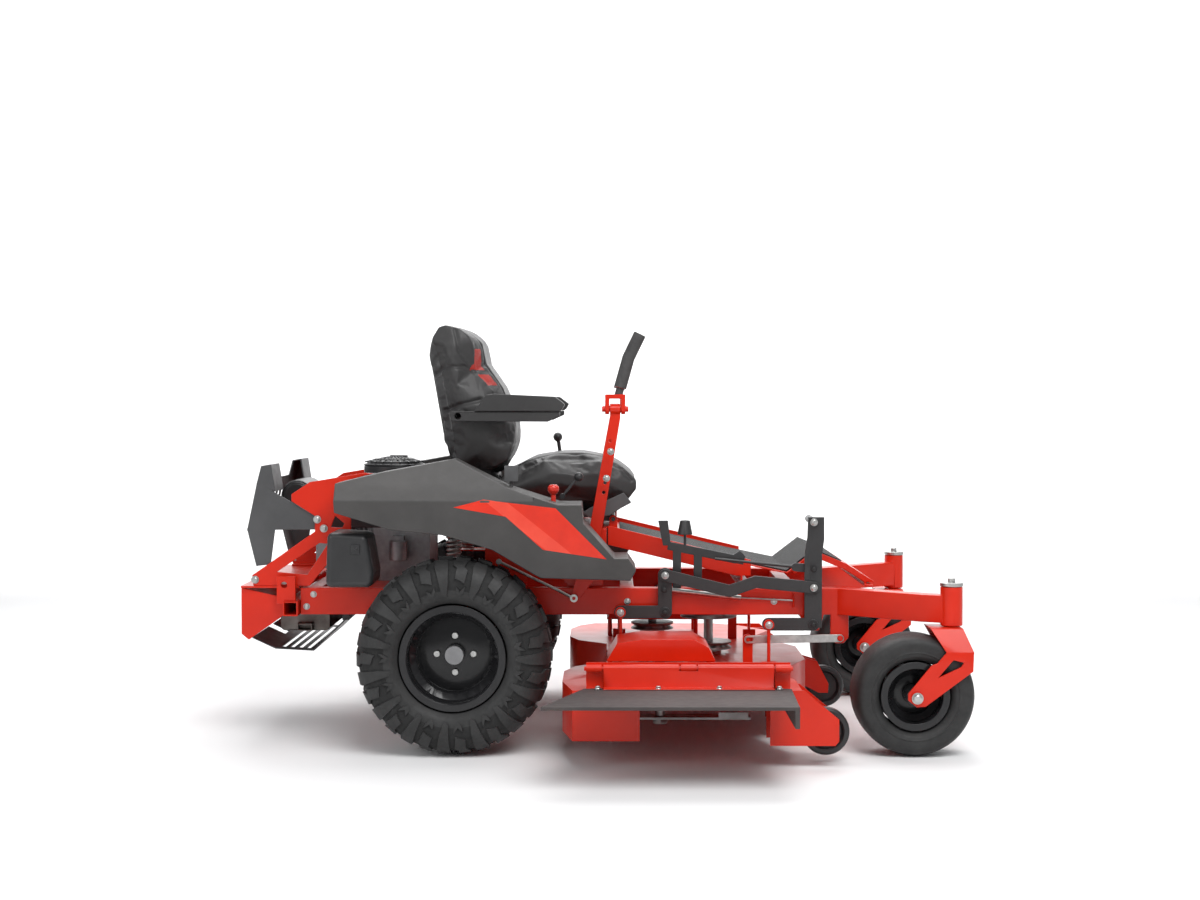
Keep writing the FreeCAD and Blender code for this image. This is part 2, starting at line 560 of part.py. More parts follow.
lap_y = arm_out / 2 - ARM_Y / 2
cheeks = []
for x in (LAP_HINGE_X - 29, LAP_HINGE_X + 17):
    cheek = box(x, x + 12, lap_y - 15, lap_y + 15, LAP_HINGE_Z, LAP_HINGE_Z + 42)
    cheeks.append(join(cheek, rod_x(x, x + 12, lap_y, LAP_HINGE_Z, 15)))
bridge = box(LAP_HINGE_X - 29, LAP_HINGE_X + 29, lap_y - 15, lap_y + 15, LAP_HINGE_Z + 30, LAP_HINGE_Z + 42)
stem_path = [(LAP_HINGE_X + 10, lap_y, LAP_HINGE_Z + 40), (LAP_HINGE_X + 38, lap_y, 1098),
             (LAP_HINGE_X + 68, lap_y, 1160)]
stem = join(rod_between(stem_path[0], stem_path[1], 11), rod_between(stem_path[1], stem_path[2], 11),
            Part.makeSphere(11, V(*stem_path[1])))
lap_bore = rod_x(LAP_HINGE_X - 60, LAP_HINGE_X + 60, lap_y, LAP_HINGE_Z, LAP_PIN_R + FIT)
lap_bar = cut(join(*cheeks, bridge, stem), lap_bore)
grip_start = (LAP_HINGE_X + 14, lap_y, 1012)
grip = join(rod_between(grip_start, stem_path[1], GRIP_R), Part.makeSphere(GRIP_R, V(*stem_path[1])),
            rod_between(stem_path[1], (LAP_HINGE_X + 71, lap_y, 1166), GRIP_R)).cut(stem)
save_sides("lap_bar", lap_bar, grip)

ROD_Y = -(rail_out + FENDER_IN_Y) / 2 + 1
eye_y = BELL_Y[0] - 2
rod_eye = rod_y(eye_y - 10, eye_y, *ROD_END, 11)
rod_knee = (ROD_END[0] - 52, ROD_Y, ROD_END[1] + 25)
rod_tail = (ROD_END[0] - 215, ROD_Y, ROD_END[1] + 104)
rod = join(rod_eye, rod_between((ROD_END[0] - 9, eye_y - 5, ROD_END[1] + 4), rod_knee, ROD_R),
           rod_between((rod_knee[0] + 4, rod_knee[1] - 1, rod_knee[2] - 2), rod_tail, ROD_R),
           rod_y(ROD_Y - 5, ROD_Y + 5, rod_tail[0], rod_tail[2], 8))
save_sides("control_rod", cut(rod, rod_y(-400, -300, *ROD_END, ROD_PIN_R + FIT)))

# ---------------------------------------------------------------- seat
base = box(-320, SEAT_HINGE_X - 2, -195, 195, 632, 648)
hinge_bar = rod_y(-222, 222, SEAT_HINGE_X, SEAT_HINGE_Z, SEAT_PIN_R)
straps = [box(SEAT_HINGE_X - 30, SEAT_HINGE_X + 8, y, y + 8, 622, 634) for y in (-204, 196)]
rest = box(-450, -310, -285, 285, SEAT_SPRING_TOP + 10, SEAT_SPRING_TOP + 16)
pads = [rod_z(SEAT_SPRING_TOP + 0.5, SEAT_SPRING_TOP + 10, SEAT_SPRING_X, y, 24) for y in (-250, 250)]
riser = box(-330, -310, -195, 195, SEAT_SPRING_TOP + 10, 648)
save("seat_base", join(base, hinge_bar, *straps, rest, *pads, riser))
cushion_edge = [(-300, 652), (-300, 740), (-239, 772), (-169, 820), (1, 822), (71, 793), (108, 743),
                (108, 708), (83, 660), (24, 650)]
save("seat_cushion", plate_xz(cushion_edge, -SEAT_HALF_W, SEAT_HALF_W))
back_edge = [(-432, 776), (-505, 1158), (-481, 1193), (-458, 1196), (-417, 1187), (-388, 1167),
             (-370, 1141), (-353, 1070), (-300, 1000), (-262, 913), (-246, 825), (-262, 790), (-305, 770)]
hinge_plate = plate_xz([(-420, 790), (-330, 775), (-308, 700), (-308, 652), (-340, 652), (-372, 700)],
                       -150, 150)
save("seat_back", join(plate_xz(back_edge, -SEAT_HALF_W + 6, SEAT_HALF_W - 6), hinge_plate,
                       rod_y(-272, 272, -410, 930, 9)))
REST_Y = (-292.0, -240.0)
rail_bar = plate_xz([(-430, 945), (-430, 916), (-150, 914), (-115, 930), (-115, 943)], *REST_Y)
pad = plate_xz([(-362, 944), (-328, 992), (-306, 995), (-129, 987), (-100, 965), (-108, 950), (-116, 944)],
               REST_Y[0] - 6, REST_Y[1])
rest_bore = rod_y(-300, -230, -410, 930, 9 + FIT)
save_sides("armrest", cut(rail_bar, rest_bore), pad)

# ---------------------------------------------------------------- deck lift
def lift_arm(shaft):
    """The rear pointing arm with its hanger pin, on the right side."""
    x, z = shaft
    arm = strap((x, z), (x - LIFT_REACH, z), 36, -crank_out, -CRANK_Y)
    pin = rod_y(-link_out - 2, -crank_out, x - LIFT_REACH, z, LIFT_PIN_R)
    return join(arm, pin)


x, z = LIFT_FRONT
lever = plate_xz([(x - 25, z - 10), (x + 25, z - 10), (x + 25, z + 200), (x + 31, z + 242), (x + 31, z + 306),
                  (x - 15, z + 306), (x - 17, z + 248), (x - 25, z + 205)], -crank_out, -CRANK_Y)
link_pin = rod_y(-link_out - 4, -crank_out, x, z + LIFT_RISE, LIFT_PIN_R)
stop_pin = rod_y(-crank_out, -CRANK_Y + 22, x, z + STOP_RISE, LIFT_PIN_R)
peg = rod_y(-crank_out - 6, -200, x + 5, z + 291, 11)
shaft = rod_y(-crank_out - 3, crank_out + 3, x, z, LIFT_SHAFT_R)
save("lift_crank_front", join(shaft, lever, link_pin, stop_pin, peg, lift_arm(LIFT_FRONT),
                              flipped(lift_arm(LIFT_FRONT))))
x, z = LIFT_REAR
rise = strap((x, z), (x, z + LIFT_RISE), 40, -crank_out, -CRANK_Y)
link_pin = rod_y(-link_out - 4, -crank_out, x, z + LIFT_RISE, LIFT_PIN_R)
shaft = rod_y(-crank_out - 3, crank_out + 3, x, z, LIFT_SHAFT_R)
save("lift_crank_rear", join(shaft, rise, link_pin, lift_arm(LIFT_REAR), flipped(lift_arm(LIFT_REAR))))

link_front = (LIFT_FRONT[0], LIFT_FRONT[1] + LIFT_RISE)
link_rear = (LIFT_REAR[0], LIFT_REAR[1] + LIFT_RISE)
link = plate_xz(band([link_rear, (370, 434), (444, 460), link_front], 34), -link_out, -link_in)
link = join(link, *[rod_y(-link_out, -link_in, *end, 17) for end in (link_front, link_rear)])
save("lift_link", cut(link, rod_y(-450, -300, *link_front, LIFT_PIN_R + FIT),
                      rod_y(-450, -300, *link_rear, LIFT_PIN_R + 0.5)))

stop_end = (LIFT_FRONT[0], LIFT_FRONT[1] + STOP_RISE)
STOP_Y = (-CRANK_Y + 4, -CRANK_Y + 12)
rod_back = (330.0, 524.0)
stop_rod = join(strap(stop_end, (560, 500), 24, *STOP_Y),
                rod_between((565, STOP_Y[0] + 4, 500), (rod_back[0], STOP_Y[0] + 4, rod_back[1]), 4))
save("height_rod", cut(stop_rod, rod_y(-400, -300, *stop_end, LIFT_PIN_R + FIT)))

BRACKET_Y = (-346.0, -340.0)
bracket = plate_xz(band([(196, 560), (393, 520)], 24), *BRACKET_Y)
hook = plate_xz([(380, 512), (412, 505), (418, 530), (402, 546), (384, 534)], *BRACKET_Y)
posts = [box(x, x + 24, *BRACKET_Y, rail_top, 545) for x in (210, 270)]
selector = plate_xz([(168, 632), (196, 632), (205, 560), (182, 560)], *BRACKET_Y)
knob = join(rod_z(556, 600, 245, -343, 4), turned_z([(0, 592), (22, 592), (14, 632), (0, 634)], 245, -343))
bail = join(rod_z(600, 665, 219, -343, 1.5), rod_x(219, 251, -343, 663, 1.5), rod_z(600, 664, 250, -343, 1.5))
save("height_bracket", join(bracket, hook, *posts, selector), knob)

SPRING_Y = -358.5
SPRING_FRONT = (553.0, 404.0)
hook_at = (404.0, 412.0)
spring = rod_between((206, SPRING_Y, 434), (hook_at[0], SPRING_Y, hook_at[1]), 7.0)
stay = rod_between((hook_at[0] - 2, SPRING_Y, hook_at[1]),
                   (SPRING_FRONT[0] - 1, SPRING_Y, SPRING_FRONT[1]), 2.5)
save("lift_spring", join(spring, stay))

drag = strap(DRAG_FRONT, DRAG_REAR, 22, -DRAG_Y - DRAG_T, -DRAG_Y)
slot = strap(DRAG_REAR, (DRAG_REAR[0] + 10, DRAG_REAR[1]), 2 * DRAG_STUD_R + 3.6, -400, -300)
drag = cut(drag, rod_y(-400, -300, *DRAG_FRONT, LIFT_PIN_R + FIT), slot)
save("drag_links", *on_both(drag))

# ---------------------------------------------------------------- deck
deck_edge = [(-70, -DECK_HALF_W), (-100, -600), (-100, -400), (-70, -300), (20, -210), (20, 210), (-70, 300),
             (-100, 400), (-100, 600), (-70, 700), (-20, DECK_HALF_W), (380, DECK_HALF_W), (470, 700),
             (560, 560), (480, 360), (560, 270), (610, 150), (610, -150), (560, -270), (480, -360),
             (540, -560), (540, -DECK_HALF_W)]


def deck_shell():
    """The welded deck: top, skirt, discharge gap, hinge bar, hangers and brackets."""
    outside = plate_xy(deck_edge, DECK_BOTTOM_Z, DECK_TOP_Z)
    wire = Part.makePolygon([V(x, y, DECK_BOTTOM_Z) for x, y in deck_edge + deck_edge[:1]])
    depth = DECK_TOP_Z - DECK_SHEET - DECK_BOTTOM_Z
    inside = Part.Face(wire.makeOffset2D(-DECK_SHEET, 2)).extrude(V(0, 0, depth))
    gap = box(109, 497, -DECK_HALF_W - 1, -DECK_HALF_W + 20, DECK_BOTTOM_Z - 1, DECK_TOP_Z - DECK_SHEET)
    shell = cut(outside, inside, gap)
    bar = box(-33, 508, -DECK_HALF_W - 1, -DECK_HALF_W + 5, DECK_TOP_Z - 5, 282)
    pins = []
    for x0, x1 in ((-33, 8), (217, 258), (467, 508)):
        knuckle = join(rod_x(x0, x1, CHUTE_HINGE_Y, CHUTE_HINGE_Z, 11),
                       box(x0, x1, CHUTE_HINGE_Y, -DECK_HALF_W, CHUTE_HINGE_Z - 8, CHUTE_HINGE_Z + 8))
        pins.append(knuckle)
    hinge_pin = rod_x(-38, 513, CHUTE_HINGE_Y, CHUTE_HINGE_Z, CHUTE_PIN_R)
    hangers = []
    for x, z in ((LIFT_FRONT[0] - LIFT_REACH, LIFT_FRONT[1]), (LIFT_REAR[0] - LIFT_REACH, LIFT_REAR[1])):
        foot = box(x - 20, x + 20, -link_out - 8, -link_in + 8, DECK_TOP_Z - 5, DECK_TOP_Z + 26)
        hanger = join(foot, rod_z(DECK_TOP_Z, z - 10, x, -(link_out + link_in) / 2, HANGER_R),
                      rod_y(-link_out, -link_in, x, z, 15))
        hanger = cut(hanger, rod_y(-link_out, -link_in, x, z, LIFT_PIN_R + FIT))
        hangers += on_both(hanger)
    x, z = DRAG_REAR
    drag_lug = join(box(x - 14, x + 14, -DRAG_Y + 3, -DRAG_Y + 13, DECK_TOP_Z - 5, z),
                    rod_y(-DRAG_Y + 3, -DRAG_Y + 13, x, z, 14),
                    rod_y(-DRAG_Y - DRAG_T - 4, -DRAG_Y + 3, x, z, DRAG_STUD_R))
    brackets = []
    for name in ("right", "left"):
        x, y, z = SCALPS[name]
        s = 1 if y > 0 else -1
        skin = sorted((s * DECK_HALF_W, s * (DECK_HALF_W - 6)))
        near = sorted((s * (abs(y) - SCALP_W / 2 - 12), s * (abs(y) - SCALP_W / 2 - 6)))
        plate = [(455, 150), (455, 60), (x + 16, 60), (x + 26, 72), (x + 26, 130), (545, DECK_TOP_Z),
                 (455, DECK_TOP_Z)]
        for y0, y1 in (skin, near):
            brackets.append(plate_xz(plate, y0, y1))
        brackets.append(rod_y(min(skin + near), max(skin + near), x, z, SCALP_AXLE_R))
    x, y, z = SCALPS["centre"]
    for y0 in (y - SCALP_W / 2 - 10, y + SCALP_W / 2 + 4):
        brackets.append(plate_xz([(580, 190), (580, 120), (x - 14, z - 18), (x + 14, z - 18),
                                  (x + 16, z + 10), (x - 20, 170), (600, 190)], y0, y0 + 6))
    brackets.append(rod_y(y - SCALP_W / 2 - 10, y + SCALP_W / 2 + 10, x, z, SCALP_AXLE_R))
    cups = [rod_z(DECK_TOP_Z - 45, DECK_TOP_Z + 8, *place, 40) for place in BLADES.values()]
    bores = [rod_z(0, 400, *place, BLADE_SHAFT_R + FIT) for place in BLADES.values()]
    whole = join(shell, bar, *pins, hinge_pin, *hangers, drag_lug, flipped(drag_lug), *brackets, *cups)
    return cut(whole, *bores)


save("deck_shell", deck_shell())

cover = plate_xz([(20, 262), (50, 312), (120, 322), (260, 322), (300, 300), (320, 262)], -600, -400)
cover_in = plate_xz([(26, 262), (54, 306), (120, 316), (260, 316), (296, 296), (314, 262)], -594, -406)
studs = [rod_z(DECK_TOP_Z, 262, x, y, 7) for x in (30, 310) for y in (-590, -410)]
ledge = [box(x - 9, x + 9, y - 9, y + 9, 262, 266) for x in (30, 310) for y in (-590, -410)]
save("belt_covers", *on_both(join(cut(cover, cover_in), *studs, *ledge)))


def blade(place):
    """A spindle shaft with its pulley on top and its blade below."""
    x, y = place
    shaft = rod_z(BLADE_Z - 14, 252, x, y, BLADE_SHAFT_R)
    wheel = turned_z([(0, 222), (PULLEY_R, 222), (PULLEY_R, 227), (PULLEY_R - 12, 233), (PULLEY_R, 239),
                      (PULLEY_R, 244), (0, 244)], x, y)
    bar = box(x - BLADE_R, x + BLADE_R, y - 32, y + 32, BLADE_Z - 6, BLADE_Z)
    bar = bar.common(rod_z(0, 200, x, y, BLADE_R))
    sails = [box(x - BLADE_R + 8, x - BLADE_R + 90, y + 22, y + 32, BLADE_Z, BLADE_Z + 14),
             box(x + BLADE_R - 90, x + BLADE_R - 8, y - 32, y - 22, BLADE_Z, BLADE_Z + 14)]
    sails = [sail.common(rod_z(0, 200, x, y, BLADE_R)) for sail in sails]
    nut = rod_z(BLADE_Z - 20, BLADE_Z - 6, x, y, 20)
    return join(shaft, wheel, bar, nut, *sails)


# The centre spindle also carries the wheel that the engine's belt drives.
x, y = BLADES["centre"]
drive_wheel = turned_z([(0, 318), (DRIVE_WHEEL_R, 318), (DRIVE_WHEEL_R, 322), (DRIVE_WHEEL_R - 14, 329),
                        (DRIVE_WHEEL_R, 336), (DRIVE_WHEEL_R, 340), (0, 340)], x, y)
drive_shaft = rod_z(240, 344, x, y, BLADE_SHAFT_R)
save("blade_centre", join(blade(BLADES["centre"]), drive_shaft, drive_wheel))
save("blade_right", blade(BLADES["right"]))
save("blade_left", blade(BLADES["left"]))

for name, (x, y, z) in SCALPS.items():
    half = SCALP_W / 2
    wheel = turned_y([(-half, SCALP_R - 5), (-half + 5, SCALP_R), (half - 5, SCALP_R), (half, SCALP_R - 5),
                      (half, SCALP_R - 16), (4, SCALP_R - 20), (4, 20), (half + 1, 20),
                      (half + 1, SCALP_AXLE_R + FIT), (-half - 1, SCALP_AXLE_R + FIT), (-half - 1, 20),
                      (-4, 20), (-4, SCALP_R - 20), (-half, SCALP_R - 16)], x, y, z)
    save("scalp_wheel_" + name, wheel)

# The chute is a folded hinge plate with a sheet of thick rubber bolted under its foot.
outer_y = CHUTE_HINGE_Y - CHUTE_REACH
sheet_top = CHUTE_Z + CHUTE_T / 2
sheet = plate_xy([(12, CHUTE_HINGE_Y - 14), (463, CHUTE_HINGE_Y - 14), (508, CHUTE_HINGE_Y - 24),
                  (500, outer_y), (-142, outer_y), (-40, CHUTE_HINGE_Y - 24)], sheet_top - CHUTE_T, sheet_top)
lip = box(488, 500, outer_y, CHUTE_HINGE_Y - 24, CHUTE_Z - 50, CHUTE_Z)
flange = plate_yz([(CHUTE_HINGE_Y - 7, CHUTE_HINGE_Z), (CHUTE_HINGE_Y - 11, CHUTE_HINGE_Z),
                   (CHUTE_HINGE_Y - 24, sheet_top + 3), (CHUTE_HINGE_Y - 52, sheet_top + 3),
                   (CHUTE_HINGE_Y - 52, sheet_top), (CHUTE_HINGE_Y - 20, sheet_top)], 12, 463)
flange = cut(flange, rod_x(213, 262, CHUTE_HINGE_Y, CHUTE_HINGE_Z, 13))
loops = []
for x0, x1 in ((12, 213), (262, 463)):
    loops.append(rod_x(x0, x1, CHUTE_HINGE_Y, CHUTE_HINGE_Z, 11))
hinge_plate = cut(join(flange, *loops), rod_x(-60, 540, CHUTE_HINGE_Y, CHUTE_HINGE_Z, CHUTE_PIN_R + FIT))
save("discharge_chute", join(sheet, lip), hinge_plate)

# ---------------------------------------------------------------- hand controls
x, y = KNOB_PLACE
save("pto_knob", join(rod_z(640, 715, x, y, 7), turned_z([(0, 714), (9, 714), (16, 724), (16, 734), (10, 741),
                                                          (0, 741)], x, y)))
x, y = KEY_PLACE
save("ignition_key", join(rod_z(700, 749, x, y, 5), box(x - 19, x + 19, y - 14, y + 14, 748, 792)))
x, y = LEVER_PLACE
save("throttle_lever", join(rod_between((x, y, LEVER_Z), (x + 42, y, LEVER_Z + 50), 4),
                            Part.makeSphere(13, V(x + 46, y, LEVER_Z + 55)),
                            rod_y(y - 8, y + 8, x, LEVER_Z, 8)))
x, y = BRAKE_PLACE
save("brake_lever", join(rod_between((x, y, 712), (x - 20, y, 850), 6),
                         Part.makeSphere(15, V(x - 21, y, 856)), rod_y(y - 10, y + 10, x, 712, 10)))
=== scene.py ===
import json
import math
import bpy
import bmesh
from mathutils import Matrix, Vector
from mathutils.bvhtree import BVHTree

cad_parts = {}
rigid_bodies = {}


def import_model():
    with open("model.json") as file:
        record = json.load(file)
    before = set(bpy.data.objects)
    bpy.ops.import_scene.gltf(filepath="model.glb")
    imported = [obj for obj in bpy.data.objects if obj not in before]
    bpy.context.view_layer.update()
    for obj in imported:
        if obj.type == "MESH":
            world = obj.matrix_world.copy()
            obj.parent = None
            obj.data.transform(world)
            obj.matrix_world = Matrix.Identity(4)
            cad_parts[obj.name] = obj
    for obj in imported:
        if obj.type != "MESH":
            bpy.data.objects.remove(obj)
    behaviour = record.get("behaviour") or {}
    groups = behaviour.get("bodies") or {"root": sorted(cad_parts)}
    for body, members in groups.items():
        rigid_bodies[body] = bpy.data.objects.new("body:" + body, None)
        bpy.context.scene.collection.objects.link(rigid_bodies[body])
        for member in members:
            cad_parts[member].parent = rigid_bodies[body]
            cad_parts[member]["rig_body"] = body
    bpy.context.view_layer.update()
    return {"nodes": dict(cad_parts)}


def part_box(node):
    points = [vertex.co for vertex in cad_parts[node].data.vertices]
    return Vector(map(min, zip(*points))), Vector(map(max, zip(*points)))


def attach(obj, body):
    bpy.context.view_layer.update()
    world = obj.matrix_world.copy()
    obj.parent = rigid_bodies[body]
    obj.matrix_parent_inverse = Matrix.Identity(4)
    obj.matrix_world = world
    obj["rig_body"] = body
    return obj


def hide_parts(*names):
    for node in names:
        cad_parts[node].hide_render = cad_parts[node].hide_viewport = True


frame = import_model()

scene = bpy.context.scene

# Welded frame: two bent box rails with caster housings, cross beams and the engine plate. Laser-cut
# and welded steel under a thick gloss red enamel. Every steel part below is finished the same way:
# a welded copy of the cut shape whose sheared edges are rounded off.
centre_y = (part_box("frame_rail_right")[0].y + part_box("frame_rail_left")[1].y) / 2


def place(x, y, z):
    """A point in metres from millimetres about the machine's centre plane, right side negative."""
    return Vector((x / 1000, centre_y + y / 1000, z / 1000))


def finish(name, colour, shade, rough, mottle=6.0, grain=700.0, depth=0.03, metal=0.0, coat=0.0, spread=0.12):
    """A material with cloudy colour, patchy gloss and a fine grain. Light and dark tones in linear colour."""
    mat = bpy.data.materials.new(name)
    mat.use_nodes = True
    nodes, links = mat.node_tree.nodes, mat.node_tree.links
    shader = nodes["Principled BSDF"]
    where = nodes.new("ShaderNodeTexCoord")
    cloud = nodes.new("ShaderNodeTexNoise")
    cloud.inputs["Scale"].default_value = mottle
    cloud.inputs["Detail"].default_value = 6
    cloud.inputs["Roughness"].default_value = 0.6
    links.new(where.outputs["Object"], cloud.inputs["Vector"])
    tone = nodes.new("ShaderNodeValToRGB")
    tone.color_ramp.elements[0].position = 0.32
    tone.color_ramp.elements[0].color = (*shade, 1)
    tone.color_ramp.elements[1].position = 0.68
    tone.color_ramp.elements[1].color = (*colour, 1)
    links.new(cloud.outputs["Fac"], tone.inputs["Fac"])
    links.new(tone.outputs["Color"], shader.inputs["Base Color"])
    patch = nodes.new("ShaderNodeTexNoise")
    patch.inputs["Scale"].default_value = mottle * 5
    patch.inputs["Detail"].default_value = 4
    links.new(where.outputs["Object"], patch.inputs["Vector"])
    gloss = nodes.new("ShaderNodeMapRange")
    gloss.inputs["To Min"].default_value = max(rough - spread, 0.04)
    gloss.inputs["To Max"].default_value = min(rough + spread, 1)
    links.new(patch.outputs["Fac"], gloss.inputs["Value"])
    links.new(gloss.outputs["Result"], shader.inputs["Roughness"])
    fine = nodes.new("ShaderNodeTexNoise")
    fine.inputs["Scale"].default_value = grain
    fine.inputs["Detail"].default_value = 3
    links.new(where.outputs["Object"], fine.inputs["Vector"])
    relief = nodes.new("ShaderNodeBump")
    relief.inputs["Strength"].default_value = depth
    relief.inputs["Distance"].default_value = 0.001
    links.new(fine.outputs["Fac"], relief.inputs["Height"])
    links.new(relief.outputs["Normal"], shader.inputs["Normal"])
    shader.inputs["Metallic"].default_value = metal
    shader.inputs["Coat Weight"].default_value = coat
    shader.inputs["Coat Roughness"].default_value = 0.08
    return mat


red_enamel = finish("red_enamel", (0.70, 0.021, 0.003), (0.58, 0.015, 0.002), 0.34, 4, 260, 0.05, 0, 0.12,
                    0.08)
red_enamel.node_tree.nodes["Principled BSDF"].inputs["Specular IOR Level"].default_value = 0.3


def new_piece(name, bm, coat, body, sharp=35):
    """Link a finished bmesh as a piece that rides on a body, smooth except at its sharp edges."""
    mesh = bpy.data.meshes.new(name)
    bm.to_mesh(mesh)
    bm.free()
    mesh.shade_smooth()
    mesh.set_sharp_from_angle(angle=math.radians(sharp))
    for layer in coat if isinstance(coat, list) else [coat]:
        mesh.materials.append(layer)
    piece = bpy.data.objects.new(name, mesh)
    scene.collection.objects.link(piece)
    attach(piece, body)
    return piece


def soften(piece, width, segments=2, angle=30):
    """Round a piece's sharp edges, as paint, grinding or a mould's draft does."""
    edge = piece.modifiers.new("soft_edges", "BEVEL")
    edge.width = width
    edge.segments = segments
    edge.limit_method = "ANGLE"
    edge.angle_limit = math.radians(angle)
    edge.use_clamp_overlap = False
    edge.harden_normals = True
    return piece


def dressed(node, coat, width=0.001, segments=2):
    """A welded copy of a cut piece with rounded edges, which stands for it."""
    cut = frame["nodes"][node]
    bm = bmesh.new()
    bm.from_mesh(cut.data)
    bmesh.ops.remove_doubles(bm, verts=bm.verts, dist=0.00002)
    bmesh.ops.dissolve_limit(bm, angle_limit=math.radians(1.5), verts=bm.verts, edges=bm.edges)
    for face in bm.faces:
        face.material_index = 0
    piece = new_piece(node + "_dressed", bm, coat, cut["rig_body"])
    if width:
        soften(piece, width, segments)
        skin = BVHTree.FromPolygons([v.co for v in piece.data.vertices],
                                    [p.vertices for p in piece.data.polygons])
        rounded = piece.evaluated_get(bpy.context.evaluated_depsgraph_get()).data
        if any(skin.find_nearest(v.co)[3] > width * 1.5 for v in rounded.vertices):
            piece.modifiers["soft_edges"].use_clamp_overlap = True
    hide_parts(node)
    return piece


for node in ("frame_rail_right", "frame_rail_left", "frame_crossmembers"):
    dressed(node, red_enamel, 0.0025)

# Bolts of the frame and of every joint: zinc-plated flanged hex heads on turned washers, screwed into
# welded nuts. Each body's bolts are one piece.
zinc = finish("zinc_plate", (0.62, 0.62, 0.60), (0.42, 0.42, 0.41), 0.34, 40, 900, 0.06, 1.0, 0, 0.12)
black_oxide = finish("black_oxide", (0.035, 0.035, 0.036), (0.018, 0.018, 0.018), 0.42, 30, 800, 0.05, 0.3)


def add_bolt(bm, at, axis, size):
    """A washer, a flange and a chamfered hex head, standing on the point along the axis."""
    turn = Vector((0, 0, 1)).rotation_difference(Vector(axis)).to_matrix().to_4x4()
    seat = Matrix.Translation(at) @ turn
    for sides, low, high, wide, narrow in ((28, 0, 0.16, 1.35, 1.3), (28, 0.16, 0.34, 1.08, 0.98),
                                           (6, 0.3, 0.86, 0.95, 0.95), (6, 0.86, 1.0, 0.95, 0.72)):
        bmesh.ops.create_cone(bm, cap_ends=True, segments=sides, radius1=wide * size, radius2=narrow * size,
                              depth=(high - low) * size,
                              matrix=seat @ Matrix.Translation((0, 0, (low + high) / 2 * size)))


def bolts(name, body, coat, spots):
    """One piece of like bolts. Each spot holds a point, an axis and the head's radius in metres."""
    bm = bmesh.new()
    for at, axis, size in spots:
        add_bolt(bm, at, axis, size)
    piece = new_piece(name, bm, coat, body)
    return piece


engine_bolts = [(place(-626 + x, y, 438), (0, 0, 1), 0.008) for x in (-135, 135) for y in (-115, 115)]
bolts("engine_mount_bolts", "chassis", zinc, engine_bolts)
side_bolts = [(place(x, s * 347, z), (0, s, 0), 0.007) for s in (-1, 1)
              for x, z in ((-820, 420), (-840, 385), (500, 400), (80, 400))]
bolts("frame_side_bolts", "chassis", zinc, side_bolts)

# Rear bumper, tie-down lugs and the two guard uprights: folded and laser-cut plate in the same red
# enamel, bolted to the rails.
for node in ("rear_bumper", "guard_uprights"):
    dressed(node, red_enamel, 0.0016)
upright_bolts = [(place(x, s * 347, z), (0, s, 0), 0.0085) for s in (-1, 1)
                 for x, z in ((-809, 635), (-790, 609), (-988, 462), (-905, 459))]
bolts("upright_bolts", "chassis", zinc, upright_bolts)

# Engine guard: one folded sheet round the back of the engine, in satin grey powder coat with a fine
# orange peel, slotted for air.
grey_coat = finish("grey_powder_coat", (0.075, 0.075, 0.077), (0.055, 0.055, 0.057), 0.50, 8, 420, 0.10)
dressed("engine_guard", grey_coat, 0.0015)

# Seat platform and floor pan: folded sheet in red enamel, spot welded, with a ribbed black rubber mat
# laid on the floor and the foot ramp.
dressed("seat_platform", red_enamel, 0.0016)
dressed("floor_pan", red_enamel, 0.0012)
mat_rubber = finish("mat_rubber", (0.022, 0.022, 0.023), (0.014, 0.014, 0.014), 0.72, 18, 600, 0.15)
floor_line = [(60, 586), (394, 507), (545, 476), (625, 537.5), (704, 505)]
bm = bmesh.new()
low = [bm.verts.new(place(x, -246, z + 2.2)) for x, z in floor_line]
bmesh.ops.extrude_edge_only(bm, edges=[bm.edges.new(pair) for pair in zip(low, low[1:])])
far = [v for v in bm.verts if v not in low]
bmesh.ops.translate(bm, verts=far, vec=(0, 0.492, 0))
bmesh.ops.subdivide_edges(bm, edges=[e for e in bm.edges if abs((e.verts[0].co - e.verts[1].co).y) > 0.1],
                          cuts=40, use_grid_fill=True)
bmesh.ops.recalc_face_normals(bm, faces=bm.faces)
bmesh.ops.solidify(bm, geom=bm.faces[:], thickness=-0.003)
floor_mat = new_piece("floor_mat", bm, mat_rubber, "chassis")
grooves = mat_rubber.node_tree.nodes.new("ShaderNodeTexWave")
grooves.bands_direction = "Y"
grooves.inputs["Scale"].default_value = 28
mat_links = mat_rubber.node_tree.links
mat_links.new([n for n in mat_rubber.node_tree.nodes if n.type == "TEX_COORD"][0].outputs["Object"],
              grooves.inputs["Vector"])
groove_relief = mat_rubber.node_tree.nodes.new("ShaderNodeBump")
groove_relief.inputs["Strength"].default_value = 0.8
groove_relief.inputs["Distance"].default_value = 0.002
mat_links.new(grooves.outputs["Fac"], groove_relief.inputs["Height"])
mat_links.new([n for n in mat_rubber.node_tree.nodes if n.type == "BUMP"][0].outputs["Normal"],
              groove_relief.inputs["Normal"])
mat_links.new(groove_relief.outputs["Normal"], mat_rubber.node_tree.nodes["Principled BSDF"].inputs["Normal"])

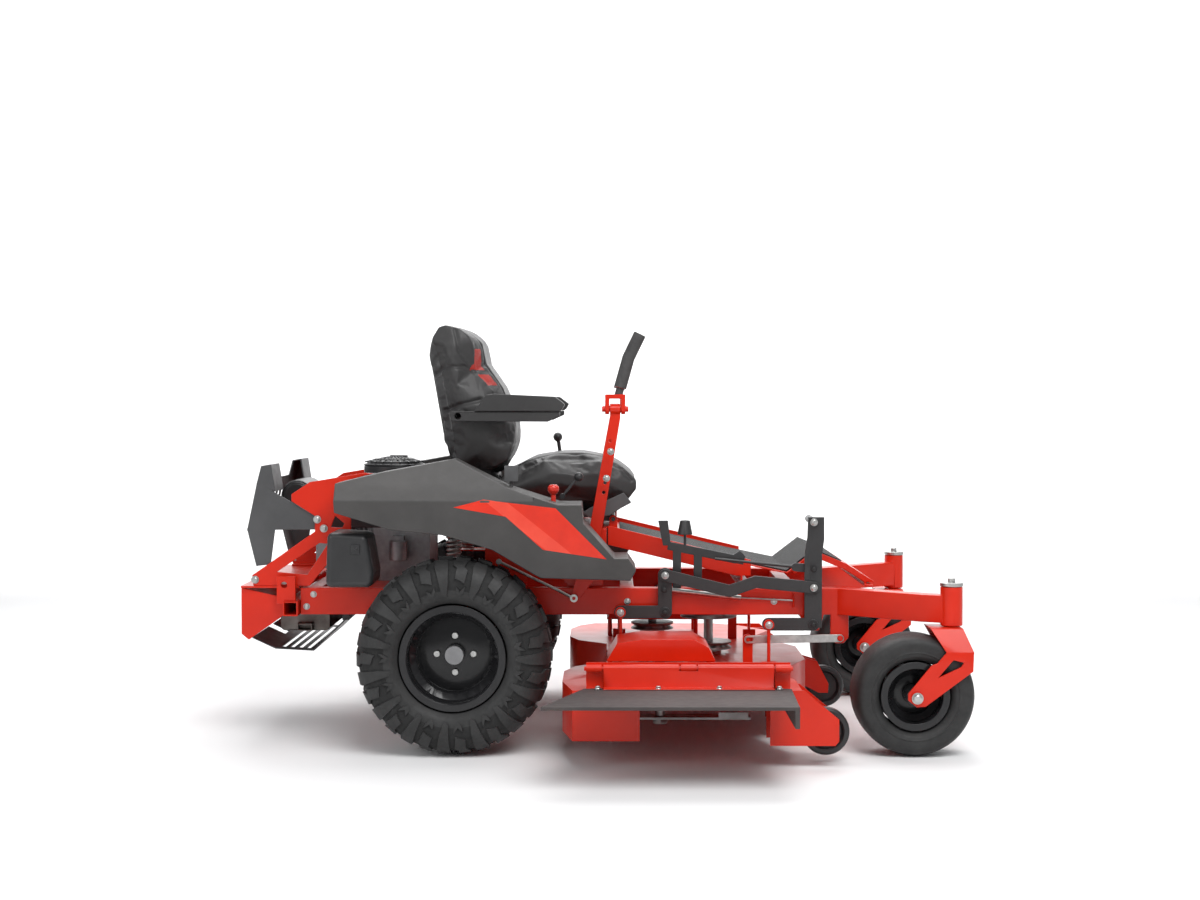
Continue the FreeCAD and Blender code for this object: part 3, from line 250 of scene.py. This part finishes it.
# Transaxles, muffler and muffler guard: die-cast aluminium drive units, a heat-dulled pressed steel
# muffler and a louvred guard in satin black.
cast_metal = finish("cast_aluminium", (0.36, 0.36, 0.37), (0.24, 0.24, 0.25), 0.5, 30, 380, 0.25, 0.85)
dull_steel = finish("heat_dulled_steel", (0.28, 0.26, 0.24), (0.13, 0.11, 0.10), 0.48, 12, 500, 0.08, 0.9)
satin_black = finish("satin_black_coat", (0.034, 0.034, 0.035), (0.024, 0.024, 0.025), 0.40, 9, 460, 0.10)
dressed("transaxles", cast_metal, 0.003)
dressed("muffler", dull_steel, 0.002)
dressed("muffler_guard", satin_black, 0.0012)

# Engine: finned cylinders and block in cast aluminium, a moulded black shroud with its cylindrical air
# cleaner, and the slotted screen, drive pulley and clutch that turn with the crankshaft.
moulded_black = finish("moulded_black", (0.026, 0.026, 0.027), (0.017, 0.017, 0.018), 0.36, 10, 900, 0.12)
dressed("engine_block", cast_metal, 0.001)
dressed("engine_shroud", moulded_black, 0.006, 3)
dressed("engine_crankshaft", moulded_black, 0.0008)


def spun(profile, centre, steps=96):
    """A closed ring about a Y axis from pairs of offset along Y and radius, in millimetres."""
    bm = bmesh.new()
    ring = [bm.verts.new(centre + Vector((0, along / 1000, r / 1000))) for along, r in profile]
    edges = [bm.edges.new(pair) for pair in zip(ring, ring[1:] + ring[:1])]
    bmesh.ops.spin(bm, geom=ring + edges, cent=centre, axis=(0, 1, 0), angle=math.tau, steps=steps,
                   use_merge=True, use_duplicate=False)
    bmesh.ops.remove_doubles(bm, verts=bm.verts, dist=0.00001)
    bmesh.ops.recalc_face_normals(bm, faces=bm.faces)
    return bm


def eased(points, cuts=4):
    """The same line with more points, rounded through each of them."""
    line = []
    for i in range(len(points) - 1):
        a, b = points[max(i - 1, 0)], points[i]
        c, d = points[i + 1], points[min(i + 2, len(points) - 1)]
        for k in range(cuts):
            t = k / cuts
            line.append(tuple(0.5 * (2 * b[j] + (c[j] - a[j]) * t
                                     + (2 * a[j] - 5 * b[j] + 4 * c[j] - d[j]) * t * t
                                     + (3 * b[j] - a[j] - 3 * c[j] + d[j]) * t ** 3) for j in (0, 1)))
    return line + [points[-1]]


# Screen cage: the round wire guard over the cooling screen, of black plastic ribs and hoops, clipped to
# the crankshaft's screen and turning with it.
bm = bmesh.new()
for radius, z, wire in ((90, 781, 3.0), (80, 791, 2.2), (62, 797, 2.2), (42, 800, 2.2), (22, 801, 2.2)):
    centre = place(-626, 0, z)
    hoop = bmesh.ops.create_circle(bm, segments=8, radius=wire / 1000,
                                   matrix=Matrix.Translation(centre + Vector((radius / 1000, 0, 0)))
                                   @ Matrix.Rotation(math.pi / 2, 4, "X"))
    edges = list({e for v in hoop["verts"] for e in v.link_edges})
    bmesh.ops.spin(bm, geom=hoop["verts"] + edges, cent=centre, axis=(0, 0, 1), angle=math.tau, steps=64,
                   use_merge=True, use_duplicate=False)
bmesh.ops.remove_doubles(bm, verts=bm.verts, dist=0.00001)
rib = bmesh.ops.create_cube(bm, size=1, matrix=Matrix.Translation(place(-570, 0, 797))
                            @ Matrix.Rotation(math.radians(12), 4, "Y")
                            @ Matrix.Diagonal((0.07, 0.003, 0.003, 1)))
rib_faces = list({f for v in rib["verts"] for f in v.link_faces})
bmesh.ops.spin(bm, geom=rib_faces, cent=place(-626, 0, 0), axis=(0, 0, 1), angle=math.tau * 19 / 20, steps=19,
               use_duplicate=True)
bmesh.ops.recalc_face_normals(bm, faces=bm.faces)
cage = new_piece("screen_cage", bm, moulded_black, "crankshaft")

# Fuel tanks and cap: rotation-moulded black plastic, with a latch plate on the tank's side and a
# knurled screw cap.
dressed("fuel_tanks", moulded_black, 0.016, 4)
dressed("fuel_cap", moulded_black, 0.002)
for name, y in (("right", -561), ("left", 561)):
    bm = bmesh.new()
    bmesh.ops.create_cube(bm, size=1, matrix=Matrix.Translation(place(-672, y, 566))
                          @ Matrix.Diagonal((0.024, 0.006, 0.026, 1)))
    bmesh.ops.create_cone(bm, cap_ends=True, segments=20, radius1=0.004, radius2=0.004, depth=0.009,
                          matrix=Matrix.Translation(place(-668, y, 566))
                          @ Matrix.Rotation(math.pi / 2, 4, "X"))
    latch = soften(new_piece("tank_latch_" + name, bm, moulded_black, "chassis"), 0.0012)

# Fenders: vacuum-formed warm grey plastic over each rear wheel, with a blank side flash in gloss red stuck on
# the outer face; its slanted bands of paler red are painted highlight where the fender's facets catch the
# light.
fender_plastic = finish("fender_plastic", (0.056, 0.053, 0.051), (0.038, 0.036, 0.035), 0.52, 7, 1100, 0.22)
flash_red = finish("flash_red", (0.78, 0.030, 0.008), (0.62, 0.020, 0.005), 0.16, 9, 300, 0.01, 0, 0.6, 0.05)
# The second flash coat is the flash red made paler, a painted highlight for the fender's lit facets.
flash_painted_highlight = finish("flash_painted_highlight", (0.84, 0.075, 0.040), (0.74, 0.045, 0.022), 0.16, 9, 300, 0.01, 0, 0.6,
                    0.05)
facet_pitch = 150
facet_width = 46
facet_slant = 0.8
flash_line = [(-399, 683), (-317, 704), (-119, 681), (21, 541), (-153, 567), (-256, 658)]


def laid_on(node, outline, side, proud, step=9):
    """A thin face laid on a node's outer side, from a line of X and Z in millimetres."""
    target = bmesh.new()
    target.from_mesh(frame["nodes"][node].data)
    tree = BVHTree.FromBMesh(target)
    target.free()
    bm = bmesh.new()
    bm.faces.new([bm.verts.new(place(x, side * 800, z)) for x, z in outline])
    spans = [(axis, min(p[k] for p in outline), max(p[k] for p in outline)) for k, axis in ((0, 0), (1, 2))]
    for axis, low, high in spans:
        normal = Vector((1, 0, 0)) if axis == 0 else Vector((0, 0, 1))
        for k in range(1, int((high - low) / step) + 1):
            at = place(low + k * step, 0, 0) if axis == 0 else place(0, 0, low + k * step)
            bmesh.ops.bisect_plane(bm, geom=bm.verts[:] + bm.edges[:] + bm.faces[:], plane_co=at,
                                   plane_no=normal)
    for vert in bm.verts:
        hit, face_normal, _, _ = tree.ray_cast(vert.co, Vector((0, -side, 0)))
        if hit and abs(hit.y - centre_y) > 0.5:
            vert.co = hit + face_normal * proud
    loose = [v for v in bm.verts if abs(v.co.y - centre_y) > 0.79]
    bmesh.ops.delete(bm, geom=loose, context="VERTS")
    bmesh.ops.recalc_face_normals(bm, faces=bm.faces)
    if sum(f.normal.y for f in bm.faces) * side < 0:
        bmesh.ops.reverse_faces(bm, faces=bm.faces)
    return bm


for name, side in (("right", -1), ("left", 1)):
    dressed("fender_" + name, fender_plastic, 0.003, 3)
    bm = laid_on("fender_" + name, flash_line, side, 0.0006)
    for k in range(1, 8):
        for border in (k * facet_pitch, k * facet_pitch + facet_width):
            bmesh.ops.bisect_plane(bm, geom=bm.verts[:] + bm.edges[:] + bm.faces[:],
                                   plane_co=(0, 0, border / 1000), plane_no=(facet_slant, 0, 1))
    # Faces in each slanted facet band take the paler red: painted highlight on the lit facets, not a second
    # paint.
    for face in bm.faces:
        spot = face.calc_center_median()
        across = spot.x * 1000 * facet_slant + spot.z * 1000
        face.material_index = 1 if across % facet_pitch < facet_width else 0
    flash = new_piece("fender_flash_" + name, bm, [flash_red, flash_painted_highlight], "chassis")

# Caster forks: welded plate forks on a vertical stem, red enamel, with a zinc grease cap and an axle bolt
# and nut through the feet.

def islands(bm):
    """The separate shells of a mesh, as lists of faces."""
    left = set(bm.faces)
    found = []
    while left:
        edge_of = [left.pop()]
        shell = list(edge_of)
        while edge_of:
            face = edge_of.pop()
            for near in (f for e in face.edges for f in e.link_faces):
                if near in left:
                    left.discard(near)
                    edge_of.append(near)
                    shell.append(near)
        found.append(shell)
    return found


def two_coats(node, coats, chosen, width=0.001):
    """A welded copy with rounded edges, whose chosen shells carry the second coat."""
    piece = dressed(node, coats[0], width)
    piece.data.materials.append(coats[1])
    bm = bmesh.new()
    bm.from_mesh(piece.data)
    for shell in islands(bm):
        spots = [v.co for f in shell for v in f.verts]
        if chosen(Vector([min(s[k] for s in spots) for k in range(3)]),
                  Vector([max(s[k] for s in spots) for k in range(3)])):
            for face in shell:
                face.material_index = 1
    bm.to_mesh(piece.data)
    bm.free()
    return piece


for name, side in (("right", -1), ("left", 1)):
    node = "caster_fork_" + name
    low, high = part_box(node)
    two_coats(node, [red_enamel, zinc], lambda low, high: low.z > 0.44, 0.0016)
    axle = (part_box("front_wheel_" + name)[0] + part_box("front_wheel_" + name)[1]) / 2
    bolts("fork_axle_bolts_" + name, "caster_" + name, zinc,
          [(Vector((axle.x, low.y, axle.z)), (0, -1, 0), 0.012),
           (Vector((axle.x, high.y, axle.z)), (0, 1, 0), 0.012)])

# Front wheels: pressed steel rims in gloss black with smooth, unribbed caster tyres of solid-looking
# black rubber, moulded with two fine rings on each sidewall.
gloss_black = finish("gloss_black", (0.016, 0.016, 0.017), (0.010, 0.010, 0.011), 0.18, 8, 500, 0.02, 0,
                     0.15, 0.06)
gloss_black.node_tree.nodes["Principled BSDF"].inputs["Specular IOR Level"].default_value = 0.3
tyre_rubber = finish("tyre_rubber", (0.026, 0.026, 0.026), (0.013, 0.013, 0.013), 0.60, 22, 420, 0.28)
# The groove coat is the tyre rubber made darker as painted shade in the tread's grooves, and rougher.
groove_shade_rubber = finish("groove_shade_rubber", (0.016, 0.016, 0.016), (0.009, 0.009, 0.009), 0.8, 22, 420, 0.2)
front_half = [(60, 98), (66, 101), (75, 110), (78.5, 118), (80, 119.5), (80.2, 122), (79.6, 124), (81.6, 134),
              (81.4, 145), (76, 155), (62, 162), (40, 165.4), (0, 166.6)]
for name in ("right", "left"):
    low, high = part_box("front_tyre_" + name)
    hub = (low + high) / 2
    outer = [(-a, r) for a, r in front_half] + [(a, r) for a, r in reversed(front_half)][1:]
    bm = spun(eased(outer, 3) + [(54, 103), (0, 108), (-54, 103)], hub, 128)
    front_tyre = new_piece("front_tyre_tread_" + name, bm, tyre_rubber, "front_" + name)
    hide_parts("front_tyre_" + name)
    dressed("front_wheel_" + name, gloss_black, 0.0015)

# Rear tyres: a ribbed turf tread of long shoulder lugs, chevron blocks and centre blocks, fifteen
# pitches round, moulded in one with the round-shouldered carcass, whose floor between the blocks is
# darkened as painted shade.
carcass = [(0, 262.6), (50, 262), (88, 258), (112, 249), (126, 234), (132.5, 212), (131, 188), (124, 166),
           (110, 150)]
carcass_inside = [(106, 156), (112, 200), (90, 238), (0, 246), (-90, 238), (-112, 200), (-106, 156)]
pitch = math.tau / 15
tread_radius = 265
shoulder_lug = [(8, 66), (40, 66), (46, 120), (44, 165), (34, 200), (14, 192), (10, 150), (4, 110)]
chevron = [(60, 75), (98, 75), (92, 115), (104, 125), (100, 160), (66, 150), (70, 120), (58, 110)]
small_chevron = [(70, 170), (88, 182), (106, 166), (104, 180), (88, 198), (72, 186)]
crown_blocks = [[(5, -50), (45, -35), (50, 5), (10, -8)], [(60, 50), (100, 35), (105, -5), (65, 8)]]


def on_carcass(w):
    """The carcass's place and outward normal at a distance along its section from the crown."""
    left = abs(w)
    for (a0, r0), (a1, r1) in zip(carcass, carcass[1:]):
        run = math.hypot(a1 - a0, r1 - r0)
        if left <= run or (a1, r1) == carcass[-1]:
            t = min(left / run, 1)
            across = (a1 - a0) / run, (r1 - r0) / run
            return (a0 + (a1 - a0) * t) * (1 if w >= 0 else -1), r0 + (r1 - r0) * t, \
                -across[1] * (1 if w >= 0 else -1), across[0]
        left -= run


def tread_block(bm, outline, side, shift):
    """One block of the tread, drawn flat as distance round and distance across, and bent on."""
    flat = bmesh.new()
    flat.faces.new([flat.verts.new((s + shift, side * w, 0)) for s, w in outline])
    bmesh.ops.recalc_face_normals(flat, faces=flat.faces)
    for k in range(-17, 18):
        bmesh.ops.bisect_plane(flat, geom=flat.verts[:] + flat.edges[:] + flat.faces[:],
                               plane_co=(0, k * 12, 0), plane_no=(0, 1, 0))
    base = flat.faces[:]
    raised = bmesh.ops.extrude_face_region(flat, geom=base, use_keep_orig=True)["geom"]
    tops = {v for v in raised if isinstance(v, bmesh.types.BMVert)}
    middle = sum((v.co for v in tops), Vector()) / len(tops)
    for vert in flat.verts:
        top = vert in tops
        s, w = vert.co.x, vert.co.y
        if top:
            s, w = s + (middle.x - s) * 0.05, w + (middle.y - w) * 0.03
        a, r, along, out = on_carcass(w)
        rise = 9 - 2.6 * min(abs(w) / 160, 1) if top else -1.5
        a, r = a + along * rise, r + out * rise
        angle = s / tread_radius
        vert.co = Vector((math.sin(angle) * r, a, math.cos(angle) * r)) / 1000
    bmesh.ops.recalc_face_normals(flat, faces=flat.faces)
    mesh = bpy.data.meshes.new("block")
    flat.to_mesh(mesh)
    flat.free()
    bm.from_mesh(mesh)
    bpy.data.meshes.remove(mesh)


for name in ("right", "left"):
    low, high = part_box("rear_tyre_" + name)
    hub = (low + high) / 2
    tread = bmesh.new()
    for side, shift in ((1, 0), (-1, tread_radius * pitch / 2)):
        for outline in (shoulder_lug, chevron, small_chevron):
            tread_block(tread, outline, side, shift)
    for outline in crown_blocks:
        tread_block(tread, outline, 1, 0)
    bmesh.ops.spin(tread, geom=tread.faces[:], cent=(0, 0, 0), axis=(0, 1, 0), angle=pitch * 14, steps=14,
                   use_duplicate=True)
    bmesh.ops.translate(tread, verts=tread.verts, vec=hub)
    bmesh.ops.recalc_face_normals(tread, faces=tread.faces)
    half = eased([(a, r) for a, r in carcass], 3)
    outer = [(-a, r) for a, r in reversed(half)] + half[1:]
    body_bm = spun(outer + carcass_inside, hub, 150)
    mesh = bpy.data.meshes.new("carcass")
    body_bm.to_mesh(mesh)
    body_bm.free()
    blocks = len(tread.faces)
    tread.from_mesh(mesh)
    tread.faces.ensure_lookup_table()
    # Carcass faces out at the tread take the darker groove coat: painted shade between the blocks.
    for face in tread.faces[blocks:]:
        spot = face.calc_center_median() - hub
        face.material_index = 1 if math.hypot(spot.x, spot.z) > 0.190 else 0
    bpy.data.meshes.remove(mesh)
    rear_tyre = new_piece("rear_tyre_tread_" + name, tread, [tyre_rubber, groove_shade_rubber], "rear_" + name, 28)
    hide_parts("rear_tyre_" + name)

# Rear wheels: deep-drawn gloss black rims with a dark grey disc, a pale hub cap and four zinc wheel
# bolts.
disc_grey = finish("disc_grey", (0.075, 0.075, 0.077), (0.050, 0.050, 0.052), 0.38, 14, 600, 0.08)
lug_circle = 0.051
hub_pale = finish("hub_pale", (0.34, 0.34, 0.345), (0.24, 0.24, 0.245), 0.42, 20, 500, 0.06, 0.6)
for name in ("right", "left"):
    low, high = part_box("rear_wheel_" + name)
    wheel = dressed("rear_wheel_" + name, gloss_black, 0.0012)
    for coat in (disc_grey, hub_pale, zinc):
        wheel.data.materials.append(coat)
    middle = (low + high) / 2
    for poly in wheel.data.polygons:
        spot = poly.center
        reach = math.hypot(spot.x - middle.x, spot.z - middle.z)
        lugs = min(math.hypot(spot.x - middle.x - lug_circle * math.cos(a),
                              spot.z - middle.z - lug_circle * math.sin(a))
                   for a in (0, math.pi / 2, math.pi, 3 * math.pi / 2))
        corners = [wheel.data.vertices[v].co - middle for v in poly.vertices]
        widest = max(math.hypot(corner.x, corner.z) for corner in corners)
        poly.material_index = 3 if lugs < 0.0105 and widest < 0.07 else 2 if widest < 0.029 else \
            1 if widest < 0.076 else 0


# Steering levers: flat control arms and bent lap bars in red enamel, with dark foam grips slid on, and
# zinc rods that run back to the pumps.
foam = finish("grip_foam", (0.070, 0.069, 0.068), (0.045, 0.044, 0.044), 0.85, 30, 500, 0.35)
for name, side in (("right", -1), ("left", 1)):
    dressed("control_arm_" + name, red_enamel, 0.0012)
    bar = dressed("lap_bar_" + name, red_enamel, 0.002)
    bar.data.materials.append(foam)
    for poly in bar.data.polygons:
        poly.material_index = 1 if poly.center.z > 1.014 else 0
    dressed("control_rod_" + name, zinc, 0.0006)
    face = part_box("control_arm_" + name)[0 if side < 0 else 1].y
    arm_bolts = [(Vector((x / 1000, face, z / 1000)), (0, side, 0), 0.0075)
                 for x, z in ((32, 830), (20, 754))]
    bolts("arm_bolts_" + name, "arm_" + name, zinc, arm_bolts)

# Seat suspension and base: two coil springs under a stamped steel pan in satin black.
dressed("seat_springs", zinc, 0)
dressed("seat_base", satin_black, 0.003)

# Seat: foam cushion and high back, each cut and sewn from grained black vinyl, with a border seam, a
# headrest seam, lumbar seams and red accents on the upper bolsters.
vinyl = finish("black_vinyl", (0.036, 0.035, 0.035), (0.023, 0.022, 0.022), 0.50, 5, 1500, 0.34, 0, 0.08)
red_vinyl = finish("red_vinyl", (0.42, 0.020, 0.010), (0.32, 0.013, 0.007), 0.40, 5, 1500, 0.34)


def near_line(spot, line):
    """Distance in metres from a point's X and Z to a line given in millimetres."""
    x, z = spot.x * 1000, spot.z * 1000
    best = 1e9
    for (x0, z0), (x1, z1) in zip(line, line[1:]):
        square = (x1 - x0) ** 2 + (z1 - z0) ** 2
        along = max(0, min(1, ((x - x0) * (x1 - x0) + (z - z0) * (z1 - z0)) / square))
        best = min(best, math.hypot(x - x0 - along * (x1 - x0), z - z0 - along * (z1 - z0)))
    return best / 1000


def upholstered(node, cell, cap, seams):
    """A pad blown up by simulation from its plain solid, with its sewn channels pressed in after."""
    cut = frame["nodes"][node]
    low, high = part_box(node)
    middle = (low + high) / 2
    mesh = cut.data.copy()
    mesh.transform(Matrix.Translation(middle) @ Matrix.Scale(0.975, 4) @ Matrix.Translation(-middle))
    mesh.materials.clear()
    pad = bpy.data.objects.new(node + "_upholstered", mesh)
    scene.collection.objects.link(pad)
    bpy.context.view_layer.objects.active = pad
    remesh = pad.modifiers.new("even_faces", "REMESH")
    remesh.mode = "VOXEL"
    remesh.voxel_size = cell
    mesh = bpy.data.meshes.new_from_object(pad.evaluated_get(bpy.context.evaluated_depsgraph_get()))
    pad.modifiers.clear()
    pad.data = mesh
    start = [v.co.copy() for v in mesh.vertices]
    cloth = pad.modifiers.new("stuffing", "CLOTH")
    cloth.settings.use_pressure = True
    cloth.settings.uniform_pressure_force = 4
    cloth.settings.effector_weights.gravity = 0
    for tick in range(1, 21):
        scene.frame_set(tick)
    blown = bpy.data.meshes.new_from_object(pad.evaluated_get(bpy.context.evaluated_depsgraph_get()))
    pad.modifiers.clear()
    scene.frame_set(1)
    for old, vert in zip(start, blown.vertices):
        move = vert.co - old
        vert.co = old + move * min(1, cap / max(move.length, 1e-9))
    pad.data = mesh = blown
    bm = bmesh.new()
    bm.from_mesh(mesh)
    pad_low = Vector([min(v.co[k] for v in bm.verts) for k in range(3)])
    pad_high = Vector([max(v.co[k] for v in bm.verts) for k in range(3)])
    for vert in bm.verts:
        for k in range(3):
            vert.co[k] = low[k] + (vert.co[k] - pad_low[k]) / (pad_high[k] - pad_low[k]) * (high[k] - low[k])
    bmesh.ops.smooth_vert(bm, verts=bm.verts, factor=0.5, use_axis_x=True, use_axis_y=True, use_axis_z=True)
    bmesh.ops.subdivide_edges(bm, edges=bm.edges[:], cuts=1, use_grid_fill=True, smooth=0.4)
    bm.normal_update()
    for vert in bm.verts:
        press = 0
        for kind, value, depth, reach in seams:
            gap = near_line(vert.co, value) if kind == "side" else abs(abs(vert.co.y - centre_y) - value)
            press = max(press, depth * math.exp(-(gap / reach) ** 2))
        vert.co -= vert.normal * press
        for k in range(3):
            vert.co[k] = min(max(vert.co[k], low[k]), high[k])
    bm.to_mesh(mesh)
    bm.free()
    mesh.shade_smooth()
    mesh.materials.append(vinyl)
    mesh.materials.append(red_vinyl)
    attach(pad, cut["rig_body"])
    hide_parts(node)
    return pad


back_seams = [("side", [(-483, 1055), (-452, 1074), (-395, 1074), (-367, 1062)], 0.006, 0.006),
              ("side", [(-456, 945), (-408, 963), (-347, 978)], 0.006, 0.006),
              ("side", [(-424, 1184), (-408, 1116), (-369, 1063)], 0.004, 0.005),
              ("across", 0.150, 0.006, 0.006)]
cushion_seams = [("side", [(-221, 778), (-165, 804), (0, 804), (62, 776), (92, 742)], 0.004, 0.005),
                 ("across", 0.150, 0.006, 0.006)]
seat_back = upholstered("seat_back", 0.006, 0.022, back_seams)
upholstered("seat_cushion", 0.006, 0.022, cushion_seams)
for poly in seat_back.data.polygons:
    spot = poly.center
    reach = abs(spot.y - centre_y)
    if 0.172 < reach < 0.205 and spot.x > -0.385 and (1.065 < spot.z < 1.127 or 1.020 < spot.z < 1.052):
        poly.material_index = 1
for name in ("right", "left"):
    rest = dressed("armrest_" + name, vinyl, 0.003, 3)

cover_line = [(-51, 648), (-28, 663), (70, 707), (93, 678), (60, 660), (30, 640), (-25, 632)]
cover_grey = finish("cover_grey", (0.10, 0.10, 0.102), (0.07, 0.07, 0.072), 0.45, 12, 900, 0.18)
for name, side in (("right", -1), ("left", 1)):
    bm = bmesh.new()
    bm.faces.new([bm.verts.new(place(x, side * 234, z)) for x, z in cover_line])
    drawn = bmesh.ops.extrude_face_region(bm, geom=bm.faces[:], use_keep_orig=True)["geom"]
    bmesh.ops.translate(bm, verts=[g for g in drawn if isinstance(g, bmesh.types.BMVert)],
                        vec=(0, side * 0.011, 0))
    bmesh.ops.recalc_face_normals(bm, faces=bm.faces)
    cover = soften(new_piece("seat_side_cover_" + name, bm, cover_grey, "seat"), 0.003, 3)

# Hand controls on the right fender: a red pull knob, a keyed switch, a ball-topped throttle lever and a
# parking brake lever on the left.
grey_moulded = finish("grey_moulded", (0.11, 0.11, 0.112), (0.08, 0.08, 0.082), 0.4, 20, 900, 0.1)
knob_red = finish("knob_red", (0.72, 0.026, 0.010), (0.60, 0.020, 0.008), 0.28, 20, 700, 0.04, 0, 0.3)
dressed("pto_knob", knob_red, 0.0025, 3)
two_coats("ignition_key", [zinc, grey_moulded], lambda low, high: high.z > 0.78, 0.001)
two_coats("throttle_lever", [zinc, moulded_black], lambda low, high: high.z > 0.76, 0.0006)
dressed("brake_lever", satin_black, 0.0015)

# Lift linkage: laser-cut cranks, link and drag links in satin black, a zinc assist spring, and zinc and
# black hex bolts at the pivots.
for node in ("lift_crank_front", "lift_crank_rear", "lift_link", "height_rod", "height_bracket"):
    dressed(node, satin_black, 0.0012)
dressed("lift_spring", zinc, 0)
dressed("drag_links", zinc, 0.001)


def pin_row(name, body, node, coat, spots, size):
    """Hex heads standing on the outer face of a linkage plate."""
    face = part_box(node)[0].y
    bolts(name, body, coat, [(Vector((x / 1000, face, z / 1000)), (0, -1, 0), size) for x, z in spots])


pin_row("rear_crank_bolts", "rear_crank", "lift_crank_rear", zinc, [(60, 373), (187, 479)], 0.008)
pin_row("front_crank_bolts", "front_crank", "lift_crank_front", zinc,
        [(482, 338), (609, 444), (609, 630)], 0.008)
pin_row("rear_crank_nuts", "rear_crank", "lift_crank_rear", black_oxide, [(187, 373), (184, 438)], 0.007)
pin_row("front_crank_nuts", "front_crank", "lift_crank_front", black_oxide, [(609, 338), (609, 496)], 0.007)

# Cutting deck: a welded shell and two belt covers in red enamel over three ground steel blades, with
# moulded anti-scalp wheels.
blade_steel = finish("blade_steel", (0.40, 0.40, 0.40), (0.22, 0.21, 0.20), 0.40, 16, 500, 0.10, 0.9)
dressed("deck_shell", red_enamel, 0.0016)
dressed("belt_covers", red_enamel, 0.0016)
for node in ("blade_right", "blade_centre", "blade_left"):
    dressed(node, blade_steel, 0)
for node in ("scalp_wheel_right", "scalp_wheel_centre", "scalp_wheel_left"):
    dressed(node, moulded_black, 0.003, 3)

# Discharge chute: a moulded rubber deflector riveted under a folded red hinge plate.
chute_rubber = finish("chute_rubber", (0.060, 0.050, 0.048), (0.042, 0.035, 0.034), 0.66, 9, 500, 0.22)
two_coats("discharge_chute", [chute_rubber, red_enamel],
          lambda low, high: high.z - low.z < 0.075 and high.z > 0.25, 0.0016)
foot = [(place(x, -818, 220.5), (0, 0, 1), 0.0075) for x in (-2, 157, 317, 474)]
bolts("chute_foot_bolts", "chute", zinc, foot)

# Studio: pale seamless floor and backdrop with soft key, fill and back lights, and the camera low
# and far back on the machine's right side.
studio = finish("studio_white", (0.90, 0.90, 0.90), (0.88, 0.88, 0.88), 0.75, 1, 50, 0.0)
bm = bmesh.new()
edge = [bm.verts.new((-14, y, z)) for y, z in ((-12, 0), (5, 0), (7, 0.5), (8, 2), (8.2, 12))]
line = [bm.edges.new(pair) for pair in zip(edge, edge[1:])]
drawn = bmesh.ops.extrude_edge_only(bm, edges=line)["geom"]
bmesh.ops.translate(bm, verts=[g for g in drawn if isinstance(g, bmesh.types.BMVert)], vec=(28, 0, 0))
bmesh.ops.recalc_face_normals(bm, faces=bm.faces)
mesh = bpy.data.meshes.new("studio_floor")
bm.to_mesh(mesh)
bm.free()
mesh.materials.append(studio)
mesh.shade_smooth()
floor = bpy.data.objects.new("studio_floor", mesh)
scene.collection.objects.link(floor)

world = bpy.data.worlds.new("studio")
world.use_nodes = True
world.node_tree.nodes["Background"].inputs["Color"].default_value = (0.96, 0.97, 1.0, 1)
world.node_tree.nodes["Background"].inputs["Strength"].default_value = 0.40
scene.world = world
for name, at, size, power in (("key", (1.2, -3.4, 4.4), 3.0, 190), ("fill", (-3.5, -3.5, 2.2), 2.5, 45),
                              ("top", (0, 2.2, 4.4), 4.0, 170)):
    lamp = bpy.data.lights.new(name, "AREA")
    lamp.size = size
    lamp.energy = power
    light = bpy.data.objects.new(name, lamp)
    light.location = at
    light.rotation_euler = (Vector((0, centre_y, 0.5)) - Vector(at)).to_track_quat("-Z", "Y").to_euler()
    scene.collection.objects.link(light)
wash = bpy.data.lights.new("wash", "AREA")
wash.shape = "RECTANGLE"
wash.size = 16
wash.size_y = 3
wash.energy = 620
wash_light = bpy.data.objects.new("wash", wash)
wash_from = Vector((0, 4.6, 4.2))
wash_to = Vector((0, 8.2, 3.4))
wash_light.location = wash_from
wash_light.rotation_euler = (wash_to - wash_from).to_track_quat("-Z", "Y").to_euler()
scene.collection.objects.link(wash_light)
scene.view_settings.view_transform = "Standard"
lens = bpy.data.cameras.new("camera")
lens.lens = 57.0
lens.sensor_width = 36
camera = bpy.data.objects.new("camera", lens)
camera.location = (0.030, centre_y - 5.780, 0.977)
camera.rotation_euler = (math.radians(88.493), 0, math.radians(0.30))
scene.collection.objects.link(camera)
scene.camera = camera
